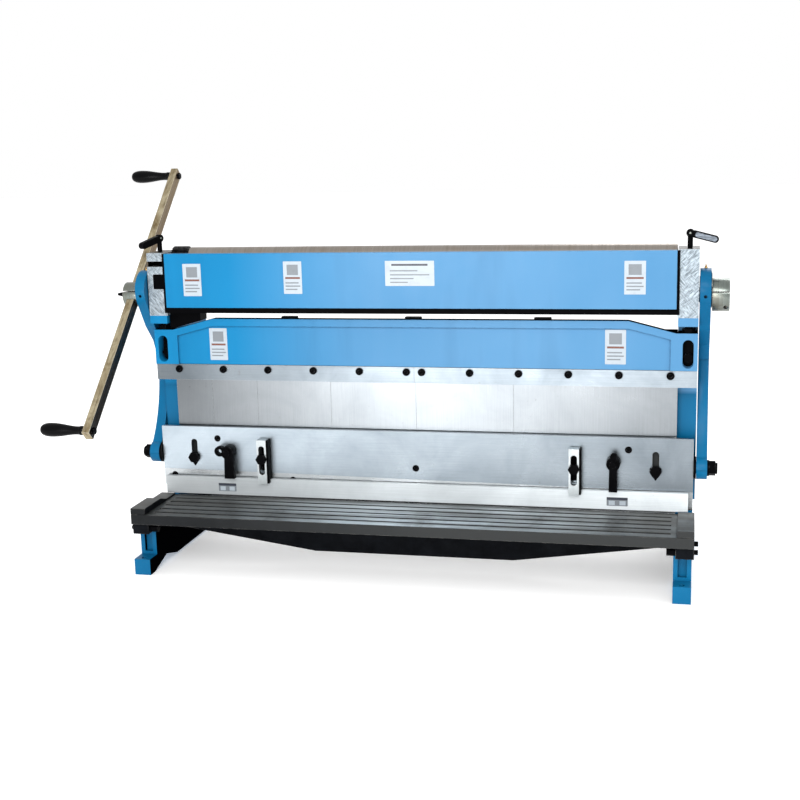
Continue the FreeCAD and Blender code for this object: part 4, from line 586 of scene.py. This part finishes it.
def make_stage():
    world = bpy.data.worlds.new("studio")
    world.use_nodes = True
    background = world.node_tree.nodes["Background"]
    background.inputs[0].default_value = (1.0, 1.0, 1.0, 1.0)
    background.inputs[1].default_value = 1.0
    bpy.context.scene.world = world
    bpy.context.scene.view_settings.view_transform = "Standard"
    middle = Vector((0, 0, 0.5))
    make_light("key", (0.4, -4.2, 3.4), middle, (2.6, 1.8), 110.0)
    make_light("panel", (-0.55, -4.4, 0.7), Vector((-0.2, 0, 0.6)), (1.8, 1.2), 70.0)
    make_light("back", (1.5, 3.4, 3.0), middle, (3.0, 2.0), 50.0)
    mesh = bpy.data.meshes.new("floor")
    reach = 30.0
    mesh.from_pydata([(-reach, -reach, 0), (reach, -reach, 0), (reach, reach, 0), (-reach, reach, 0)],
                     [], [(0, 1, 2, 3)])
    mesh.materials.append(make_floor_look())
    floor = bpy.data.objects.new("floor", mesh)
    bpy.context.collection.objects.link(floor)


def new_piece(name, mesh, look, body, bevel=0.0):
    mesh.materials.append(look)
    piece = bpy.data.objects.new(name, mesh)
    bpy.context.collection.objects.link(piece)
    if bevel:
        round_edges(piece, bevel * MM)
    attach(piece, body)
    return piece


def turned_mesh(name, profile, axis, centre, steps=48):
    """A closed solid of revolution; the profile is a ring of (along, radius) in metres."""
    shape = bmesh.new()
    rings = []
    for step in range(steps):
        angle = 2 * math.pi * step / steps
        ring = []
        for along, radius in profile:
            first, second = radius * math.cos(angle), radius * math.sin(angle)
            spot = {"x": (along, first, second), "y": (first, along, second),
                    "z": (first, second, along)}[axis]
            ring.append(shape.verts.new(Vector(spot) + Vector(centre)))
        rings.append(ring)
    count = len(profile)
    for step in range(steps):
        here, there = rings[step], rings[(step + 1) % steps]
        for index in range(count):
            after = (index + 1) % count
            shape.faces.new((here[index], here[after], there[after], there[index]))
    bmesh.ops.remove_doubles(shape, verts=shape.verts, dist=1e-6)
    bmesh.ops.recalc_face_normals(shape, faces=shape.faces)
    return finished_mesh(name, shape)


def finished_mesh(name, shape, smooth_angle=34):
    for face in shape.faces:
        face.smooth = True
    for edge in shape.edges:
        if len(edge.link_faces) == 2 and edge.calc_face_angle(0) > math.radians(smooth_angle):
            edge.smooth = False
    mesh = bpy.data.meshes.new(name)
    shape.to_mesh(mesh)
    shape.free()
    return mesh


def slab_mesh(name, outline, depth, axes="xz"):
    """A flat plate: an outline in two axes, pushed through between two places on the third."""
    shape = bmesh.new()
    spare = ({"x", "y", "z"} - set(axes)).pop()
    loops = []
    for level in depth:
        loop = []
        for first, second in outline:
            spot = {axes[0]: first, axes[1]: second, spare: level}
            loop.append(shape.verts.new((spot["x"], spot["y"], spot["z"])))
        loops.append(loop)
    count = len(outline)
    shape.faces.new(loops[0])
    shape.faces.new(list(reversed(loops[1])))
    for index in range(count):
        after = (index + 1) % count
        shape.faces.new((loops[0][index], loops[1][index], loops[1][after], loops[0][after]))
    bmesh.ops.recalc_face_normals(shape, faces=shape.faces)
    return finished_mesh(name, shape)


def rectangle(low, high):
    return [(low[0], low[1]), (high[0], low[1]), (high[0], high[1]), (low[0], high[1])]


def rounded_rectangle(low, high, radius, steps=5):
    """Corner arcs of a rectangle, counter-clockwise."""
    corners = ((high[0] - radius, high[1] - radius, 0), (low[0] + radius, high[1] - radius, 90),
               (low[0] + radius, low[1] + radius, 180), (high[0] - radius, low[1] + radius, 270))
    points = []
    for x, z, start in corners:
        for step in range(steps + 1):
            angle = math.radians(start + 90 * step / steps)
            points.append((x + radius * math.cos(angle), z + radius * math.sin(angle)))
    return points


# Grip outline from the crank outwards: share of its length and of its greatest radius
GRIP_OUTLINE = ((0.0, 0.60), (0.02, 0.66), (0.07, 0.67), (0.09, 0.62), (0.14, 0.60), (0.22, 0.62),
                (0.32, 0.70), (0.42, 0.80), (0.52, 0.90), (0.62, 0.97), (0.72, 1.0), (0.81, 0.98),
                (0.88, 0.90), (0.93, 0.78), (0.965, 0.62), (0.985, 0.44), (1.0, 0.20))


def make_grips():
    """Turned plastic handles with a collar at the neck, round in section, open along the spindle."""
    for end in ("upper", "lower"):
        low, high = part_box(end + "_grip")
        length = high[0] - low[0]
        middle = ((low[1] + high[1]) / 2, (low[2] + high[2]) / 2)
        radius = (high[1] - low[1]) / 2
        outside = smooth_profile([(-share * length, part * radius) for share, part in GRIP_OUTLINE])
        bore, end_wall = 6.1 * MM, 4.5 * MM
        pocket = end_wall - length
        profile = [(0.0, bore)] + outside + [(-length, 0.0), (pocket, 0.0), (pocket, bore)]
        mesh = turned_mesh(end + "_handle", profile, "x", (high[0], *middle), 64)
        handle = new_piece(end + "_handle", mesh, MATERIALS["grip_plastic"], end + "_grip")
        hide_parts(end + "_grip")


def smooth_profile(points, steps=4):
    """Points along a curve that passes through the given ones."""
    curve = []
    last = len(points) - 1
    for index in range(last):
        before, start = Vector(points[max(index - 1, 0)]), Vector(points[index])
        end, after = Vector(points[index + 1]), Vector(points[min(index + 2, last)])
        for step in range(steps):
            part = step / steps
            curve.append(tuple(0.5 * (
                2 * start + (end - before) * part
                + (2 * before - 5 * start + 4 * end - after) * part ** 2
                + (3 * start - before - 3 * end + after) * part ** 3)))
    curve.append(tuple(points[-1]))
    return curve


def make_roll_levers():
    """Clamp levers: threaded post, round eye with a bright pin, and a channelled arm."""
    for side, sign in (("right", 1), ("left", -1)):
        body = side + "_lever"
        centre = Vector((sign * LEVER_X, LEVER_Y, LEVER_TOP))
        post = threaded_post(side + "_lever_post", centre)
        post = new_piece(side + "_lever_post", post, MATERIALS["black_oxide"], body)
        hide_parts(side + "_roll_lever")
        turned = Matrix.Translation(centre) @ Matrix.Rotation(
            math.radians(LEVER_TURN[side]), 4, "Z")
        for name, mesh, look in lever_parts(side):
            mesh.transform(turned)
            new_piece(name, mesh, look, body, 0.8)


def threaded_post(name, centre):
    """Round post under the eye, with thread crests along its lower half."""
    low = LEVER_POST_LOW - centre[2]
    crest, root, pitch = 6.4 * MM, 5.7 * MM, 2.0 * MM
    profile = [(low, 0.0), (low, root)]
    along = low + pitch
    while along < THREAD_TOP - centre[2]:
        profile += [(along, crest), (along + pitch / 2, root)]
        along += pitch
    under_eye = -6 * MM
    profile += [(along, crest), (under_eye, crest), (under_eye, 0.0)]
    return turned_mesh(name, profile, "z", centre, 32)


def mirrored(profile):
    """A profile's points on the minus side, then the points themselves in turn back to the start."""
    return [(-along, radius) for along, radius in profile] + list(reversed(profile))


def lever_parts(side):
    """Eye, pin, arm and the arm's inlaid face, about the lever's own centre with the arm along +X."""
    reach, drop = 60 * MM, 16 * MM
    tilt = Matrix.Rotation(math.atan2(drop, reach), 4, "Y")
    eye_half, eye_radius, chamfer = 7.6 * MM, 9.8 * MM, 1.4 * MM
    pin_half, pin_radius, pin_chamfer = 7.9 * MM, 3.2 * MM, (0.5 * MM, 1.0 * MM)
    eye = turned_mesh(side + "_lever_eye", mirrored([
        (eye_half, pin_radius), (eye_half, eye_radius - chamfer), (eye_half - chamfer, eye_radius),
    ]), "y", (0, 0, 0))
    pin = turned_mesh(side + "_lever_pin", mirrored([
        (pin_half, 0.0), (pin_half, pin_radius - pin_chamfer[1]), (pin_half - pin_chamfer[0], pin_radius),
    ]), "y", (0, 0, 0), 24)
    long = math.hypot(reach, drop)
    arm_half, arm_side = 8.6 * MM, 7.4 * MM
    outline = rounded_rectangle((2 * MM, -arm_half), (long + 6.5 * MM, arm_half), 8.0 * MM)
    arm = slab_mesh(side + "_lever_bar", outline, (-arm_side, arm_side))
    face_half = 5.8 * MM
    inlay = rounded_rectangle((12 * MM, -face_half), (long + 2.5 * MM, face_half), 5.2 * MM)
    face = slab_mesh(side + "_lever_face", inlay, (-pin_half, -7.2 * MM))
    for mesh in (arm, face):
        mesh.transform(tilt)
    return ((side + "_lever_eye", eye, MATERIALS["black_oxide"]),
            (side + "_lever_pin", pin, MATERIALS["shaft_steel"]),
            (side + "_lever_bar", arm, MATERIALS["black_oxide"]),
            (side + "_lever_face", face, FILED_STEEL))


# Nipple outline from the foot upwards: share of its height and of its greatest radius
NIPPLE_OUTLINE = ((0.0, 0.0), (0.0, 0.90), (0.40, 0.90), (0.41, 1.0), (0.62, 1.0), (0.66, 0.78),
                  (0.78, 0.46), (0.84, 0.42), (0.88, 0.60), (0.94, 0.62), (0.98, 0.44), (1.0, 0.0))


def make_nipples():
    """Grease nipples on the rods' crowns: round collar, cone and ball."""
    low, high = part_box("grease_nipples")
    radius = 3.5 * MM
    height = high[2] - low[2]
    profile = [(share * height, part * radius) for share, part in NIPPLE_OUTLINE]
    for side, x in (("left", low[0] + radius), ("right", high[0] - radius)):
        centre = (x, (low[1] + high[1]) / 2, low[2])
        mesh = turned_mesh(side + "_grease_fitting", profile, "z", centre, 24)
        fitting = new_piece(side + "_grease_fitting", mesh, MATERIALS["bronze"], "ram")
        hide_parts("grease_nipples")


def socket_screw(name, x, z):
    """A set screw in a hole of the face plate, with its socket."""
    y, radius = -47 * MM, 8.7 * MM
    socket, rim = 0.55 * radius, 0.86 * radius
    floor, end = y + 4 * MM, y + 8 * MM
    profile = [(y, socket), (y, rim), (y + 1 * MM, radius), (end, radius), (end, 0.0), (floor, 0.0),
               (floor, socket)]
    mesh = turned_mesh(name, profile, "y", (x, 0, z), 32)
    new_piece(name, mesh, MATERIALS["black_oxide"], "ram")


def make_small_plates():
    """Black pieces: window plate, painted shade sheets in the cap gap and behind the plate's slots, strips
    on the brackets' right sides that are partly painted shade, and set screws.
    """
    black = MATERIALS["black_paint"]
    window = slab_mesh("window_plate", rounded_rectangle(*WINDOW, 1.5 * MM), (-69.6 * MM, -67.1 * MM))
    new_piece("window_plate", window, black, "base", 0.5)
    # Painted shade: black sheets fill the open gap under the release cap.
    gap_shade = slab_mesh("cap_gap_shade", rectangle(*CAP_GAP), (-24.8 * MM, -20.2 * MM))
    new_piece("cap_gap_shade", gap_shade, black, "base", 0.4)
    outer, gap_low = CAP_GAP[0]
    strip = rectangle((outer, gap_low), (outer + 3.5 * MM, CAP_GAP[1][1]))
    gap_side_shade = slab_mesh("cap_gap_side_shade", strip, (-64 * MM, -25.2 * MM))
    new_piece("cap_gap_side_shade", gap_side_shade, black, "base", 0.4)
    low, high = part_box("hold_down_brackets")
    half = 13 * MM
    centre_x = high[0] - half
    for side, sign in (("left", -1), ("right", 1)):
        # A black strip beside each bracket's right side: the side's own black and partly painted shade.
        edge = sign * centre_x + half
        flank = rectangle((edge, low[2] + 1.5 * MM), (edge + 4.5 * MM, high[2] - 1 * MM))
        side_black = slab_mesh(side + "_bracket_side_black", flank, (low[1] + 0.6 * MM, high[1] - 0.6 * MM))
        new_piece(side + "_bracket_side_black", side_black, black, "hold_down", 0.8)
        # Painted shade: black sheets behind the plate's slots.
        behind = rounded_rectangle((sign * centre_x - 10 * MM, SLOT_SPAN[0]),
                                   (sign * centre_x + 10 * MM, SLOT_SPAN[1]), 3 * MM)
        slot_shade_sheet = slab_mesh(side + "_slot_shade", behind, (-51.5 * MM, -50.1 * MM))
        new_piece(side + "_slot_shade", slot_shade_sheet, black, "ram", 0.4)
        socket_screw(side + "_drill_screw", sign * DRILL_PLACE[0], DRILL_PLACE[1])
    socket_screw("centre_screw", 0.0, CENTRE_HOLE_Z)


def label(name, x, z, y, bands, body, face_look=None):
    """A blank sticker with plain bands.

    A band's numbers are its two ends up the height and across the width, as shares.
    """
    sheet = 0.35 * MM
    face = slab_mesh(name, rounded_rectangle((x[0], z[0]), (x[1], z[1]), 1.5 * MM), (y - sheet, y))
    new_piece(name, face, face_look or LABEL_WHITE, body)
    inset = 0.10 * (x[1] - x[0])
    height = z[1] - z[0]
    for index, (start, end, left, right, look) in enumerate(bands):
        width = x[1] - x[0] - 2 * inset
        low = (x[0] + inset + left * width, z[0] + start * height)
        high = (x[0] + inset + right * width, z[0] + end * height)
        band = slab_mesh(f"{name}_band_{index}", rectangle(low, high), (y - 1.6 * sheet, y - 0.9 * sheet))
        new_piece(f"{name}_band_{index}", band, look, body)


def make_labels():
    """Blank stickers where such a machine carries its notices."""
    guard_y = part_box("roll_guard")[0][1]
    panel_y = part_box("upper_beam")[0][1] + 6 * MM
    bar_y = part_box("hold_down_bar")[0][1]
    notice = ((0.58, 0.90, 0.12, 0.88, LABEL_GREY), (0.46, 0.52, 0.0, 1.0, LABEL_BAND),
              (0.32, 0.36, 0.0, 0.9, LABEL_GREY), (0.22, 0.26, 0.0, 1.0, LABEL_GREY),
              (0.12, 0.16, 0.0, 0.8, LABEL_GREY))
    chart = ((0.80, 0.88, 0.04, 0.96, LABEL_DARK), (0.58, 0.63, 0.0, 0.7, LABEL_GREY),
             (0.42, 0.47, 0.0, 1.0, LABEL_GREY), (0.27, 0.32, 0.0, 0.6, LABEL_GREY),
             (0.12, 0.17, 0.0, 0.45, LABEL_GREY))
    for name, x, z, bands in (
            ("guard_notice_left", (-0.604, -0.554), (0.702, 0.786), notice),
            ("guard_notice_middle", (-0.329, -0.280), (0.708, 0.791), notice),
            ("guard_chart", (-0.061, 0.065), (0.728, 0.791), chart),
            ("guard_notice_right", (0.531, 0.582), (0.707, 0.788), notice)):
        label(name, x, z, guard_y, bands, "base")
    for name, x, z in (("beam_notice_left", (-0.553, -0.504), (0.528, 0.613)),
                       ("beam_notice_right", (0.484, 0.535), (0.530, 0.616))):
        label(name, x, z, panel_y, notice, "base")
    for name, x in (("bar_tag_left", (-0.541, -0.491)), ("bar_tag_right", (0.492, 0.544))):
        tag = ((0.70, 1.0, -0.12, 1.12, LABEL_DARK), (0.10, 0.60, 0.0, 0.36, LABEL_WHITE),
               (0.10, 0.60, 0.64, 1.0, LABEL_WHITE))
        label(name, x, (0.174, 0.196), bar_y, tag, "hold_down", LABEL_GREY)


dress_frame()
make_camera()
make_stage()
make_grips()
make_roll_levers()
make_nipples()
make_small_plates()
make_labels()
